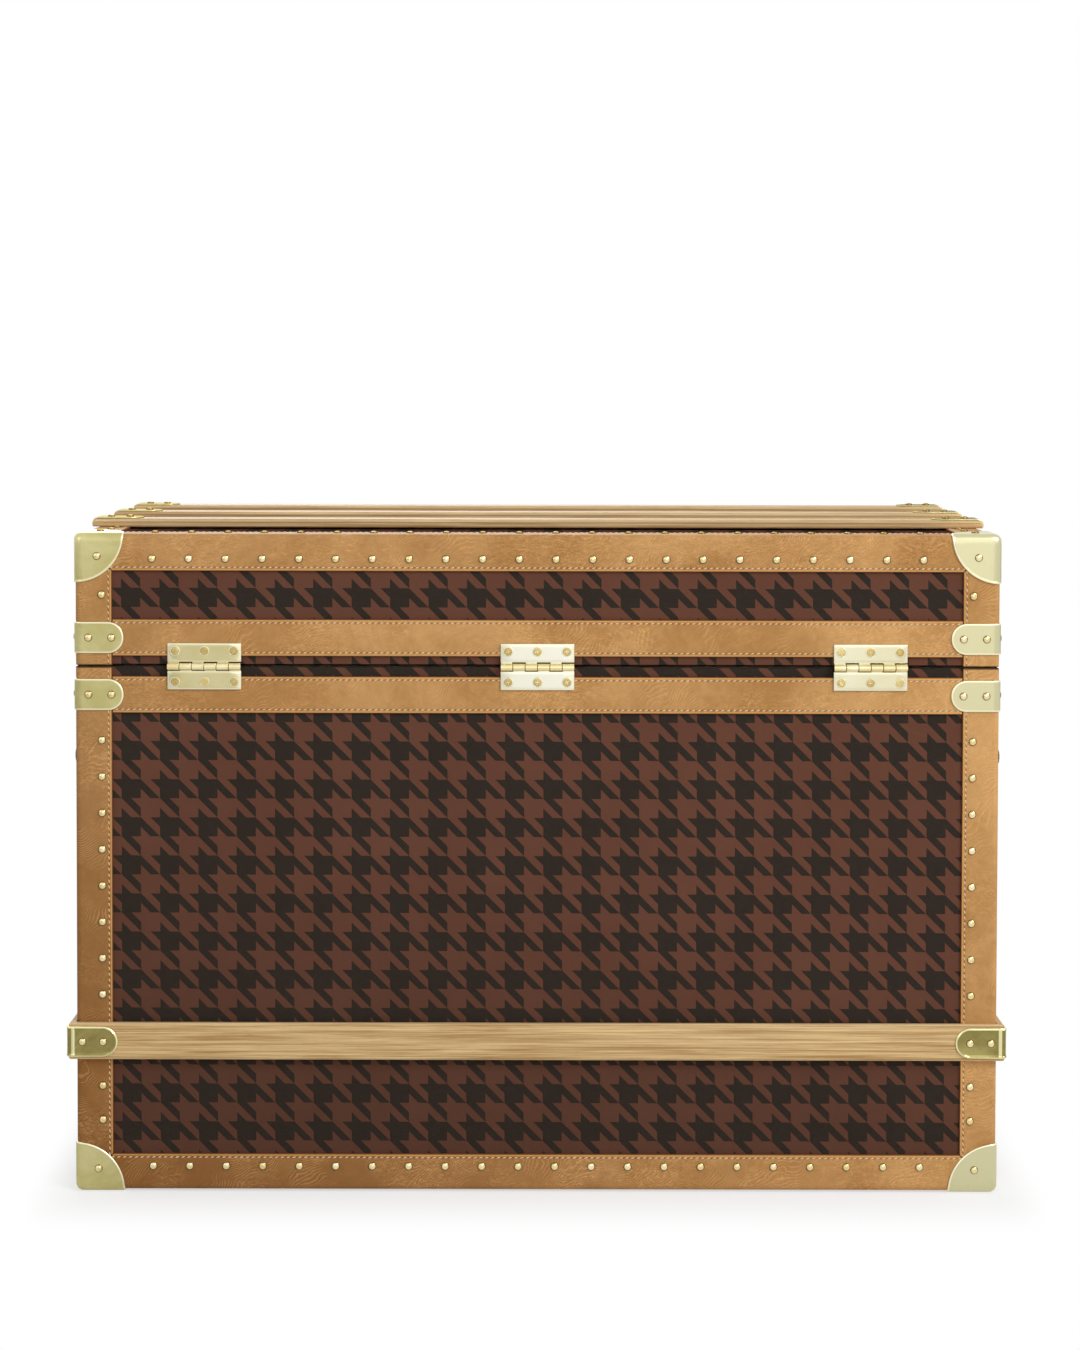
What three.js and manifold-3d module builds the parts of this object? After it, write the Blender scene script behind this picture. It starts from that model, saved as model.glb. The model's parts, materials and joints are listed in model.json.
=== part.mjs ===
// A flat-topped travelling trunk, opened at the top: a plywood box and lid covered in canvas and
// bound in leather, with brass corners, a hardwood belt and top slats, three butt hinges behind,
// a hasp lock and two snap clasps in front, bowed end handles, folding lid stays and a lift-out tray.
// Millimetres, +Z up. The long side runs along X, the front faces -Y, the hinges are at +Y,
// and the origin is on the floor under the middle of the whole trunk.

import * as THREE from 'three';
import { mergeVertices } from 'three/addons/utils/BufferGeometryUtils.js';
import { RoundedBoxGeometry } from 'three/addons/geometries/RoundedBoxGeometry.js';
import Module from 'manifold-3d';

// Overall sizes, over the leather
const trunkLength = 900;
const trunkDepth = 550;
const trunkHeight = 645;
const seamShare = 0.8003;
const seamHeight = trunkHeight * seamShare;
const edgeRadius = 6;

// Clearances and overruns
const seatGap = 0.3;
const seamGap = 1.6;
const swingGap = 0.5;
const cutOverrun = 20;

// Walls, from the outside in
const leatherThickness = 2;
const canvasThickness = 1;
const plyThickness = 9;
const liningThickness = 1.2;

// Leather binding
const bindingWidth = 36;
const rimStripHeight = 9;
const rimBandWidth = 36;

// Brass corners and clamps
const brassThickness = 1.2;
const cornerReach = 46.6;
const rimClampLength = 47.5;
const rimClampHeight = 30.6;
const beltClampLength = 48;
const beltClampHeight = 30;

// Wooden belt round the body and slats across the lid
const slatWidth = 36;
const slatThickness = 8;
const beltThickness = 6;
const slatEdgeRadius = 2.5;
const slatEndRadius = 2.5;
const beltHeight = 149.5;
const lidSlatSpacing = 139;
const lidSlatOverhang = 1.2;

// Butt hinges
const hingeLength = 72;
const hingeHalfHeight = 22.7;
const hingePlate = 1.6;
const hingeKnuckleRadius = 3.5;
const hingePinRadius = 1.6;
const hingeEndGap = 42.5;
const hingeCornerRadius = 2;
const knuckleCount = 6;
const boreClearance = 0.35;

// Inner collar, tray and its cleats
const collarThickness = 5;
const collarDepth = 78;
const lipHeight = 11;
const lipSetback = 1.6;
const lipTopSetback = 2.4;
const innerCornerRadius = 1;
const trayHeight = 88;
const trayTopDrop = 22;
const trayWall = 7;
const trayFloor = 5;
const trayInnerRadius = 2.5;
const trayEndRoom = 15;
const traySideGap = 2;
const cleatDepth = 16;
const cleatHeight = 14;

// Folding lid stays
const stayArm = 120;
const stayRise = 60;
const stayWidth = 13;
const stayThickness = 2.2;
const stayLayerGap = 0.6;
const stayPinRadius = 3;
const stayHeadRadius = 5.2;
const stayHeadThickness = 1.4;

// Front lock and clasps
const frontPlate = 1.6;
const frontKnuckleRadius = 3.2;
const frontPinRadius = 1.4;
const frontAxisRise = 9;
const lockPlateWidth = 66;
const lockPlateHeight = 58;
const lockPlateDrop = 5;
const lockBoxWidth = 48;
const lockBoxHeight = 44;
const lockBoxDepth = 8;
const lockHaspLength = 42;
const lockLidPlateHeight = 34;
const stapleWidth = 10;
const stapleHeight = 4;
const stapleLength = 6;
const stapleDrop = 31;
const lockCylinderRadius = 6;
const lockCylinderDepth = 6;
const lockCylinderProud = 0.8;
const lockCylinderMargin = 2.7;
const keywayWidth = 1.6;
const keywayHeight = 7;
const claspSpacing = 262;
const claspPlateWidth = 40;
const claspPlateHeight = 46;
const claspStrapLength = 56;
const claspLidPlateHeight = 34;
const claspStudRadius = 4.5;
const claspStudHeight = 6.5;
const claspStudDrop = 40;
const claspHoleClearance = 1.3;
const strapThickness = 2;
const pullCurl = 3.5;
const plateCornerRadius = 5;

// End handles
const handleDrop = 120.5;
const handleSpan = 236;
const handlePadHeight = 58;
const handlePadThickness = 3;
const handlePadRadius = 11.6;
const handleBow = 47;
const handleStrapWidth = 34;
const handleStrapThickness = 5;
const handleGripWidth = 27;
const handleGripThickness = 19;
const handleRampLength = 46;
const handleRampEnd = 80;
const handleEndGap = 3;
const handleStripRoundShare = 0.3;
const handleGripRoundShare = 0.9;
const bridgeWidth = 24;
const bridgeWall = 2.4;
const bridgePlace = 98;
const bridgeClearance = 0.6;

// Counts
const cornerSteps = 3;
const roundSteps = 16;
const pinSteps = 10;
const knuckleSteps = 14;
const bendSteps = 4;
const stayEndSteps = 8;
const gripStations = 22;
const gripSides = 14;

// The four upright edges in turn, as the signs of X and Y
const quarterSigns = [[1, 1], [-1, 1], [-1, -1], [1, -1]];

const wasm = await Module();
wasm.setup();

// A closed geometry as a solid for joins and cuts
function toSolid(geometry) {
  const bare = geometry.clone();
  bare.deleteAttribute('normal');
  bare.deleteAttribute('uv');
  const merged = mergeVertices(bare);
  const vertProperties = new Float32Array(merged.attributes.position.array);
  const corners = merged.index.array;
  const kept = [];
  for (let i = 0; i < corners.length; i += 3) {
    const [a, b, c] = [corners[i], corners[i + 1], corners[i + 2]];
    if (a !== b && b !== c && c !== a) kept.push(a, b, c);
  }
  const triVerts = new Uint32Array(kept);
  return new wasm.Manifold(new wasm.Mesh({ numProp: 3, vertProperties, triVerts }));
}

function toGeometry(solid) {
  const mesh = solid.getMesh();
  const geometry = new THREE.BufferGeometry();
  geometry.setAttribute('position', new THREE.BufferAttribute(new Float32Array(mesh.vertProperties), 3));
  geometry.setIndex(new THREE.BufferAttribute(new Uint32Array(mesh.triVerts), 1));
  geometry.computeVertexNormals();
  return geometry;
}

function join(first, ...others) {
  return toGeometry(others.reduce((sum, piece) => sum.add(toSolid(piece)), toSolid(first)));
}

function cut(first, ...others) {
  return toGeometry(others.reduce((rest, piece) => rest.subtract(toSolid(piece)), toSolid(first)));
}

function common(first, ...others) {
  return toGeometry(others.reduce((part, piece) => part.intersect(toSolid(piece)), toSolid(first)));
}

// A box between two corners
function boxBetween(low, high) {
  const size = high.map((value, i) => value - low[i]);
  const geometry = new THREE.BoxGeometry(...size);
  return geometry.translate(...low.map((value, i) => value + size[i] / 2));
}

// Points round a rectangle with round corners, counter-clockwise
function roundedRectangle(halfX, halfY, radius, steps) {
  const points = [];
  quarterSigns.forEach(([signX, signY], quarter) => {
    for (let i = 0; i <= steps; i += 1) {
      const angle = (quarter + i / steps) * Math.PI / 2;
      const x = signX * (halfX - radius) + radius * Math.cos(angle);
      const y = signY * (halfY - radius) + radius * Math.sin(angle);
      points.push([x, y]);
    }
  });
  return points;
}

// Skins a row of rings of equal point counts. A closed row joins its last ring to its first,
// and an open one is capped at both ends. Faces are turned outwards by the sign of the volume.
function loft(rings, closed = false) {
  const count = rings[0].length;
  const points = rings.flat();
  const faces = [];
  const rows = closed ? rings.length : rings.length - 1;
  for (let row = 0; row < rows; row += 1) {
    const here = row * count;
    const next = ((row + 1) % rings.length) * count;
    for (let i = 0; i < count; i += 1) {
      const j = (i + 1) % count;
      faces.push([here + i, here + j, next + j], [here + i, next + j, next + i]);
    }
  }
  if (!closed) {
    for (const [row, flip] of [[0, true], [rings.length - 1, false]]) {
      const centre = new THREE.Vector3();
      for (const point of rings[row]) centre.addScaledVector(point, 1 / count);
      points.push(centre);
      for (let i = 0; i < count; i += 1) {
        const j = (i + 1) % count;
        const [a, b] = flip ? [j, i] : [i, j];
        faces.push([points.length - 1, row * count + a, row * count + b]);
      }
    }
  }
  const volume = faces.reduce((sum, [a, b, c]) => {
    const normal = new THREE.Vector3().crossVectors(points[b], points[c]);
    return sum + points[a].dot(normal);
  }, 0);
  const turned = volume < 0 ? faces.map(([a, b, c]) => [a, c, b]) : faces;
  const geometry = new THREE.BufferGeometry();
  const positions = new Float32Array(points.flatMap((point) => point.toArray()));
  geometry.setAttribute('position', new THREE.BufferAttribute(positions, 3));
  geometry.setIndex(turned.flat());
  return toGeometry(toSolid(geometry));
}

// One level ring of a box whose edges are rounded
function levelRing(halfX, halfY, radius, z) {
  const outline = roundedRectangle(halfX, halfY, radius, cornerSteps);
  return outline.map(([x, y]) => new THREE.Vector3(x, y, z));
}

// Rings from a rounded floor or ceiling edge up or down the wall, from the flat to the rim
function dishRings(halfX, halfY, radius, flat, rim) {
  const towards = Math.sign(rim - flat);
  const rings = [];
  for (let i = 0; i <= cornerSteps; i += 1) {
    const angle = (i / cornerSteps) * Math.PI / 2;
    const inset = radius * (1 - Math.sin(angle));
    const z = flat + towards * radius * (1 - Math.cos(angle));
    rings.push(levelRing(halfX - inset, halfY - inset, radius * Math.sin(angle), z));
  }
  rings.push(levelRing(halfX, halfY, radius, rim));
  return rings;
}

// An open box: outer dish, then the rim, then the inner dish back to its floor
function openBox(inset, wall, flat, rim) {
  const halfX = trunkLength / 2 - inset;
  const halfY = trunkDepth / 2 - inset;
  const towards = Math.sign(rim - flat);
  const outerRadius = Math.max(edgeRadius - inset, seatGap);
  const innerRadius = Math.max(outerRadius - wall, seatGap);
  const outer = dishRings(halfX, halfY, outerRadius, flat, rim);
  const inner = dishRings(halfX - wall, halfY - wall, innerRadius, flat + towards * wall, rim);
  return loft([...outer, ...inner.reverse()]);
}

// A flat outline drawn in X and Z, given a thickness along Y from y = from to y = to
function plateXZ(outline, from, to) {
  const shape = new THREE.Shape(outline.map(([x, z]) => new THREE.Vector2(x, z)));
  const geometry = new THREE.ExtrudeGeometry(shape, { depth: to - from, bevelEnabled: false });
  return geometry.rotateX(Math.PI / 2).translate(0, to, 0);
}

// A rounded rectangle in X and Z about a centre height
function roundPlate(width, height, centreZ, radius, from, to) {
  const outline = roundedRectangle(width / 2, height / 2, radius, cornerSteps);
  return plateXZ(outline.map(([x, z]) => [x, z + centreZ]), from, to);
}

// A rod along X between two places
function rodX(radius, from, to, y, z, steps) {
  const geometry = new THREE.CylinderGeometry(radius, radius, to - from, steps);
  return geometry.rotateZ(Math.PI / 2).translate((from + to) / 2, y, z);
}

// A rod along Y between two places
function rodY(radius, from, to, x, z, steps) {
  const geometry = new THREE.CylinderGeometry(radius, radius, to - from, steps);
  return geometry.translate(x, (from + to) / 2, z);
}

const root = new THREE.Group();

const finishes = {
  ply: { color: 0xc9a87a, roughness: 0.8, metalness: 0 },
  lining: { color: 0xb9a88c, roughness: 0.95, metalness: 0 },
  canvas: { color: 0x46332b, roughness: 0.7, metalness: 0 },
  leather: { color: 0xb88a58, roughness: 0.55, metalness: 0 },
  darkLeather: { color: 0x4a261b, roughness: 0.5, metalness: 0 },
  wood: { color: 0xc4a576, roughness: 0.5, metalness: 0 },
  brass: { color: 0xd0c48f, roughness: 0.3, metalness: 1 },
  steel: { color: 0x9a9a96, roughness: 0.4, metalness: 1 },
};

function addPiece(parent, name, geometry, finish) {
  const mesh = new THREE.Mesh(geometry, new THREE.MeshStandardMaterial(finishes[finish]));
  mesh.name = name;
  parent.add(mesh);
  return mesh;
}

// Levels and half sizes that several pieces share
const halfLength = trunkLength / 2;
const halfDepth = trunkDepth / 2;
const footGap = brassThickness + seatGap;
const leatherBottom = footGap;
const bodyRim = seamHeight - seamGap / 2;
const lidRim = seamHeight + seamGap / 2;
const canvasInset = leatherThickness + seatGap;
const plyInset = canvasInset + canvasThickness + seatGap;
const innerInset = plyInset + plyThickness;

// The box and the lid: plywood, canvas over it, and the leather binding outside
function carcass() {
  const shell = openBox(plyInset, plyThickness, leatherBottom + plyInset, bodyRim);
  const cleatTop = trayBottom - seatGap;
  const cleatReach = halfLength - innerInset - trayEndRoom;
  const cleats = [-1, 1].map((side) => {
    const wallFace = side * (halfDepth - innerInset + seatGap);
    const edge = side * (halfDepth - innerInset - cleatDepth);
    return boxBetween(
      [-cleatReach, Math.min(wallFace, edge), cleatTop - cleatHeight],
      [cleatReach, Math.max(wallFace, edge), cleatTop],
    );
  });
  return join(shell, ...cleats);
}

// Cuts that leave bands along every edge of a box of leather
function bandWindows(flatSide, rim) {
  const towards = Math.sign(rim - flatSide);
  const x = halfLength - bindingWidth;
  const y = halfDepth - bindingWidth;
  const panelStart = flatSide + towards * bindingWidth;
  const panelEnd = rim - towards * (rimStripHeight + rimBandWidth);
  const stripStart = rim - towards * rimStripHeight;
  const beyond = rim + towards * cutOverrun;
  const heights = [[panelStart, panelEnd], [stripStart, beyond]];
  const cuts = heights.flatMap((pair) => {
    const [low, high] = [Math.min(...pair), Math.max(...pair)];
    return [
      boxBetween([-x, -halfDepth - cutOverrun, low], [x, halfDepth + cutOverrun, high]),
      boxBetween([-halfLength - cutOverrun, -y, low], [halfLength + cutOverrun, y, high]),
    ];
  });
  cuts.push(boxBetween([-x, -y, flatSide - cutOverrun], [x, y, flatSide + cutOverrun]));
  return cuts;
}

function binding(flatSide, rim) {
  const shell = openBox(0, leatherThickness, flatSide, rim);
  return cut(shell, ...bandWindows(flatSide, rim));
}

const trayTop = bodyRim - trayTopDrop;
const trayBottom = trayTop - trayHeight;
const collarFace = innerInset + seatGap;
const lidLiningBottom = bodyRim + lipHeight + seamGap;

// The collar lines the mouth of the body, and its lip tapers inwards where the lid comes down over it
function collar() {
  const ring = (inset, z) => levelRing(halfLength - inset, halfDepth - inset, innerCornerRadius, z);
  const inner = collarFace + collarThickness;
  const lipTop = bodyRim + lipHeight;
  return loft([
    ring(collarFace, bodyRim - collarDepth),
    ring(collarFace, bodyRim),
    ring(collarFace + lipSetback, bodyRim + seamGap),
    ring(collarFace + lipTopSetback, lipTop),
    ring(inner, lipTop),
    ring(inner, bodyRim - collarDepth),
  ], true);
}

// The lid's lining starts above the collar's lip and carries the studs of the lid stays
function lidLining() {
  const lining = openBox(collarFace, liningThickness, trunkHeight - collarFace, lidLiningBottom);
  const face = halfLength - collarFace - liningThickness;
  const studs = [-1, 1].flatMap((side) => {
    const bossSpan = ordered(side * (upperLayer + stayThickness + seatGap), side * (face + seatGap));
    const pinSpan = ordered(side * (upperLayer - seatGap), side * face);
    const headSpan = stayHeadSpan(side, upperLayer);
    return [
      rodX(stayHeadRadius, ...bossSpan, stayPivotY, lidPivotZ, pinSteps),
      rodX(stayPinRadius, ...pinSpan, stayPivotY, lidPivotZ, pinSteps),
      rodX(stayHeadRadius, ...headSpan, stayPivotY, lidPivotZ, pinSteps),
    ];
  });
  return join(lining, ...studs);
}

function ordered(a, b) {
  return [Math.min(a, b), Math.max(a, b)];
}

// Folding stays: two equal arms whose pivots form a rhombus with the hinge axis, so that the lower
// arm always turns with the lid and the upper arm keeps its own direction
const hingeAxisY = halfDepth + seatGap + hingeKnuckleRadius;
const stayRun = Math.sqrt(stayArm ** 2 - stayRise ** 2);
const stayPivotY = hingeAxisY - stayRun;
const bodyPivotZ = seamHeight - stayRise;
const lidPivotZ = seamHeight + stayRise;
const elbowY = stayPivotY - stayRun;
const collarInnerX = halfLength - collarFace - collarThickness;
const lowerLayer = collarInnerX - stayLayerGap - stayThickness;
const upperLayer = lowerLayer - stayLayerGap - stayThickness;

function stayHeadSpan(side, layer) {
  const start = layer - seatGap;
  return ordered(side * start, side * (start - stayHeadThickness));
}

// A flat arm with round ends and an eye at each, from one pivot to the other, across one layer in X
function stayBar(from, to, layer, eyes) {
  const run = Math.hypot(to[0] - from[0], to[1] - from[1]);
  const half = stayWidth / 2;
  const shape = new THREE.Shape();
  shape.absarc(0, 0, half, Math.PI / 2, -Math.PI / 2, false);
  shape.absarc(run, 0, half, -Math.PI / 2, Math.PI / 2, false);
  for (const [place, radius] of [[0, eyes[0]], [run, eyes[1]]]) {
    if (radius > 0) {
      const hole = new THREE.Path();
      hole.absarc(place, 0, radius, 0, Math.PI * 2, true);
      shape.holes.push(hole);
    }
  }
  const options = { depth: stayThickness, bevelEnabled: false, curveSegments: stayEndSteps };
  const geometry = new THREE.ExtrudeGeometry(shape, options);
  geometry.rotateZ(Math.atan2(to[1] - from[1], to[0] - from[0]));
  geometry.applyMatrix4(acrossX);
  return geometry.translate(layer, from[0], from[1]);
}

// Turns a drawing in a plane into Y and Z, with its thickness along X
const acrossX = new THREE.Matrix4().makeBasis(
  new THREE.Vector3(0, 1, 0),
  new THREE.Vector3(0, 0, 1),
  new THREE.Vector3(1, 0, 0),
);

function lowerArm(side) {
  const layer = side > 0 ? lowerLayer : -lowerLayer - stayThickness;
  const eye = stayPinRadius + boreClearance;
  const bar = stayBar([stayPivotY, bodyPivotZ], [elbowY, seamHeight], layer, [eye, 0]);
  const pinSpan = ordered(side * (upperLayer - seatGap), side * (lowerLayer + seatGap));
  const pin = rodX(stayPinRadius, ...pinSpan, elbowY, seamHeight, pinSteps);
  const head = rodX(stayHeadRadius, ...stayHeadSpan(side, upperLayer), elbowY, seamHeight, pinSteps);
  return join(bar, pin, head);
}

function upperArm(side) {
  const layer = side > 0 ? upperLayer : -upperLayer - stayThickness;
  const eye = stayPinRadius + boreClearance;
  return stayBar([elbowY, seamHeight], [stayPivotY, lidPivotZ], layer, [eye, eye]);
}

function collarWithStuds() {
  const studs = [-1, 1].flatMap((side) => {
    const pinSpan = ordered(side * (lowerLayer - seatGap), side * (collarInnerX + seatGap));
    return [
      rodX(stayPinRadius, ...pinSpan, stayPivotY, bodyPivotZ, pinSteps),
      rodX(stayHeadRadius, ...stayHeadSpan(side, lowerLayer), stayPivotY, bodyPivotZ, pinSteps),
    ];
  });
  return join(collar(), ...studs);
}

// The lift-out tray, with one partition across it
function tray() {
  const halfX = collarInnerX - trayEndRoom;
  const halfY = halfDepth - collarFace - collarThickness - traySideGap;
  const shell = loft([
    levelRing(halfX, halfY, edgeRadius, trayBottom),
    levelRing(halfX, halfY, edgeRadius, trayTop),
    levelRing(halfX - trayWall, halfY - trayWall, trayInnerRadius, trayTop),
    levelRing(halfX - trayWall, halfY - trayWall, trayInnerRadius, trayBottom + trayFloor),
  ]);
  const reach = halfY - trayWall + seatGap;
  const low = [-trayWall / 2, -reach, trayBottom + trayFloor - seatGap];
  const partition = boxBetween(low, [trayWall / 2, reach, trayTop - trayWall]);
  return join(shell, partition);
}

// A three-sided brass corner: the rounded outside of the box, cut to a ball round its corner
function cornerCap() {
  const reach = cornerReach + brassThickness;
  const [outer, inner] = [seatGap + brassThickness, seatGap].map((face) => {
    const block = new RoundedBoxGeometry(2 * reach, 2 * reach, 2 * reach, cornerSteps, edgeRadius + face);
    return block.translate(face - reach, face - reach, face - reach);
  });
  const ball = new THREE.SphereGeometry(reach, 2 * roundSteps, roundSteps);
  return common(cut(outer, inner), ball);
}

// A strip bent round an upright edge whose corner is at the origin, with half-round ends.
// It stands on two faces of an edge of the given radius.
function edgeClamp(length, height, radius) {
  const near = seatGap;
  const far = seatGap + brassThickness;
  const shape = new THREE.Shape();
  shape.moveTo(-length, near);
  shape.lineTo(-radius, near);
  shape.absarc(-radius, -radius, radius + near, Math.PI / 2, 0, true);
  shape.lineTo(near, -length);
  shape.lineTo(far, -length);
  shape.lineTo(far, -radius);
  shape.absarc(-radius, -radius, radius + far, 0, Math.PI / 2, false);
  shape.lineTo(-length, far);
  const options = { depth: height, bevelEnabled: false, curveSegments: bendSteps };
  const strip = new THREE.ExtrudeGeometry(shape, options).translate(0, 0, -height / 2);
  const half = height / 2;
  const outline = [[far, half], [half - length, half]];
  for (let i = 1; i < roundSteps / 2; i += 1) {
    const angle = Math.PI / 2 + (i / (roundSteps / 2)) * Math.PI;
    outline.push([half - length + half * Math.cos(angle), half * Math.sin(angle)]);
  }
  outline.push([half - length, -half], [far, -half]);
  const across = plateXZ(outline, -length, far);
  const along = across.clone().applyMatrix4(swapXY);
  return common(strip, across, flipFaces(along));
}

// Mirrors a drawing in the upright plane between X and Y
const swapXY = new THREE.Matrix4().set(0, 1, 0, 0, 1, 0, 0, 0, 0, 0, 1, 0, 0, 0, 0, 1);

function flipFaces(geometry) {
  const flipped = geometry.index ? geometry.toNonIndexed() : geometry.clone();
  const source = flipped.attributes.position.array.slice();
  const points = flipped.attributes.position.array;
  for (let i = 0; i < points.length; i += 9) {
    points.set(source.subarray(i + 3, i + 6), i + 6);
    points.set(source.subarray(i + 6, i + 9), i + 3);
  }
  return flipped;
}

// A belt slat lying along X on a wall at y = 0, mitred to meet its neighbours
function beltSlat(halfWall) {
  const section = roundedTopSection(slatWidth, beltThickness, slatEdgeRadius);
  const rings = [-1, 1].map((end) => section.map(([across, out]) => {
    const x = end * (halfWall + out - seatGap);
    return new THREE.Vector3(x, out + seatGap, across);
  }));
  return loft(rings);
}

// A flat strip's section with round outer edges, as pairs of across and out
function roundedTopSection(width, thickness, radius) {
  const points = [[-width / 2, 0], [width / 2, 0]];
  for (const side of [1, -1]) {
    for (let i = 0; i <= cornerSteps; i += 1) {
      const angle = (i / cornerSteps) * Math.PI / 2;
      const turn = side > 0 ? angle : Math.PI / 2 - angle;
      const across = side * (width / 2 - radius + radius * Math.cos(turn));
      points.push([across, thickness - radius + radius * Math.sin(turn)]);
    }
  }
  return points;
}

// A slat across the lid, its top rounded down at both ends
function lidSlat() {
  const reach = halfLength + lidSlatOverhang;
  const rings = [];
  for (const end of [-1, 1]) {
    for (let i = 0; i <= cornerSteps; i += 1) {
      const angle = (i / cornerSteps) * Math.PI / 2;
      const turn = end < 0 ? angle : Math.PI / 2 - angle;
      const x = end * (reach - slatEndRadius + slatEndRadius * Math.cos(turn));
      const thickness = slatThickness - slatEndRadius + slatEndRadius * Math.sin(turn);
      const section = roundedTopSection(slatWidth, thickness, slatEdgeRadius);
      rings.push(section.map(([across, up]) => new THREE.Vector3(x, across, up)));
    }
  }
  return loft(rings);
}

// One leaf of a hinge along X, on a wall at y = 0 and with its axis at z = 0. Its plate rises
// (side 1) or drops (side -1) from the axis. Shares give the knuckles along its length in turn,
// and those of its own parity stand on the axis while the plate is cut back behind the others.
function hingeLeaf({ width, reach, plate, radius, pinRadius, shares, parity, side, corner, carriesPin }) {
  const axisY = seatGap + radius;
  const centreZ = side * (reach - corner) / 2;
  let leaf = roundPlate(width, reach + corner, centreZ, corner, seatGap, seatGap + plate);
  const beyond = ordered(0, -side * (corner + cutOverrun));
  leaf = cut(leaf, boxBetween([-width, -cutOverrun, beyond[0]], [width, cutOverrun, beyond[1]]));
  const total = shares.reduce((sum, share) => sum + share, 0);
  const slack = swingGap / 2;
  const rooms = [];
  const knuckles = [];
  let start = -width / 2;
  shares.forEach((share, i) => {
    const end = start + width * share / total;
    if (i % 2 === parity) {
      knuckles.push(rodX(radius, start + slack, end - slack, axisY, 0, knuckleSteps));
    } else {
      const room = ordered(-side * cutOverrun, side * (radius + swingGap));
      rooms.push(boxBetween([start - slack, -cutOverrun, room[0]], [end + slack, cutOverrun, room[1]]));
    }
    start = end;
  });
  leaf = join(cut(leaf, ...rooms), ...knuckles);
  if (carriesPin) return join(leaf, rodX(pinRadius, -width / 2, width / 2, axisY, 0, pinSteps));
  return cut(leaf, rodX(pinRadius + boreClearance, -width, width, axisY, 0, pinSteps));
}

// A bent strip of even thickness along points in Y and Z, as wide as given along X
function bentStrip(points, thickness, width) {
  const path = points.map(([y, z]) => new THREE.Vector2(y, z));
  const sides = [[], []];
  path.forEach((point, i) => {
    const before = path[Math.max(i - 1, 0)];
    const after = path[Math.min(i + 1, path.length - 1)];
    const inward = point.clone().sub(before).normalize();
    const outward = after.clone().sub(point).normalize();
    const along = inward.add(outward).normalize();
    const stretch = i > 0 && i < path.length - 1 ? 1 / along.dot(outward) : 1;
    const offset = new THREE.Vector2(-along.y, along.x).multiplyScalar(stretch * thickness / 2);
    sides[0].push(point.clone().add(offset));
    sides[1].unshift(point.clone().sub(offset));
  });
  const shape = new THREE.Shape([...sides[0], ...sides[1]]);
  const geometry = new THREE.ExtrudeGeometry(shape, { depth: width, bevelEnabled: false });
  return geometry.applyMatrix4(acrossX).translate(-width / 2, 0, 0);
}

// Front pieces are drawn on a wall at y = 0 with the outside towards +Y, and at their own heights
const frontAxisZ = lidRim + frontAxisRise;
const frontAxisY = seatGap + frontKnuckleRadius;
const plateFace = seatGap + frontPlate;
const lockCentreZ = bodyRim - lockPlateDrop - lockPlateHeight / 2;
const lockFace = plateFace + lockBoxDepth;
const stapleZ = frontAxisZ - stapleDrop;
const lockCylinderZ = lockCentreZ - lockBoxHeight / 2 + lockCylinderRadius + lockCylinderMargin;
const strapKnuckleShares = [1, 3, 1];

function lockCase() {
  const [plate, box] = [
    [lockPlateWidth, lockPlateHeight, plateFace],
    [lockBoxWidth, lockBoxHeight, lockFace],
  ].map(([width, height, face]) => (
    roundPlate(width, height, lockCentreZ, plateCornerRadius, seatGap, face)
  ));
  const slotHalf = stapleWidth / 2 + claspHoleClearance;
  const slotRise = stapleHeight / 2 + claspHoleClearance;
  const slotFloor = lockFace - stapleLength - claspHoleClearance;
  const slot = boxBetween(
    [-slotHalf, slotFloor, stapleZ - slotRise],
    [slotHalf, lockFace + cutOverrun, stapleZ + slotRise],
  );
  const bore = rodY(
    lockCylinderRadius + boreClearance, lockFace - lockCylinderDepth, lockFace + cutOverrun,
    0, lockCylinderZ, roundSteps,
  );
  return cut(join(plate, box), slot, bore);
}

function lockCylinder() {
  const face = lockFace + lockCylinderProud;
  const back = lockFace - lockCylinderDepth + boreClearance;
  const plug = rodY(lockCylinderRadius, back, face, 0, lockCylinderZ, roundSteps);
  const keyway = boxBetween(
    [-keywayWidth / 2, (face + back) / 2, lockCylinderZ - keywayHeight / 2],
    [keywayWidth / 2, face + cutOverrun, lockCylinderZ + keywayHeight / 2],
  );
  return cut(plug, keyway);
}

function frontLeaf(width, reach) {
  const leaf = hingeLeaf({
    width,
    reach,
    plate: frontPlate,
    radius: frontKnuckleRadius,
    pinRadius: frontPinRadius,
    shares: strapKnuckleShares,
    parity: 0,
    side: 1,
    corner: plateCornerRadius,
    carriesPin: true,
  });
  return leaf.translate(0, 0, frontAxisZ);
}

// The rolled eye at the top of a strap, as wide as the middle share of its leaf
function strapEye(leafWidth) {
  const total = strapKnuckleShares.reduce((sum, share) => sum + share, 0);
  const half = leafWidth * strapKnuckleShares[1] / total / 2 - swingGap / 2;
  return { half, eye: rodX(frontKnuckleRadius, -half, half, frontAxisY, frontAxisZ, roundSteps) };
}

function pinBore() {
  const radius = frontPinRadius + boreClearance;
  return rodX(radius, -halfLength, halfLength, frontAxisY, frontAxisZ, pinSteps);
}

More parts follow.
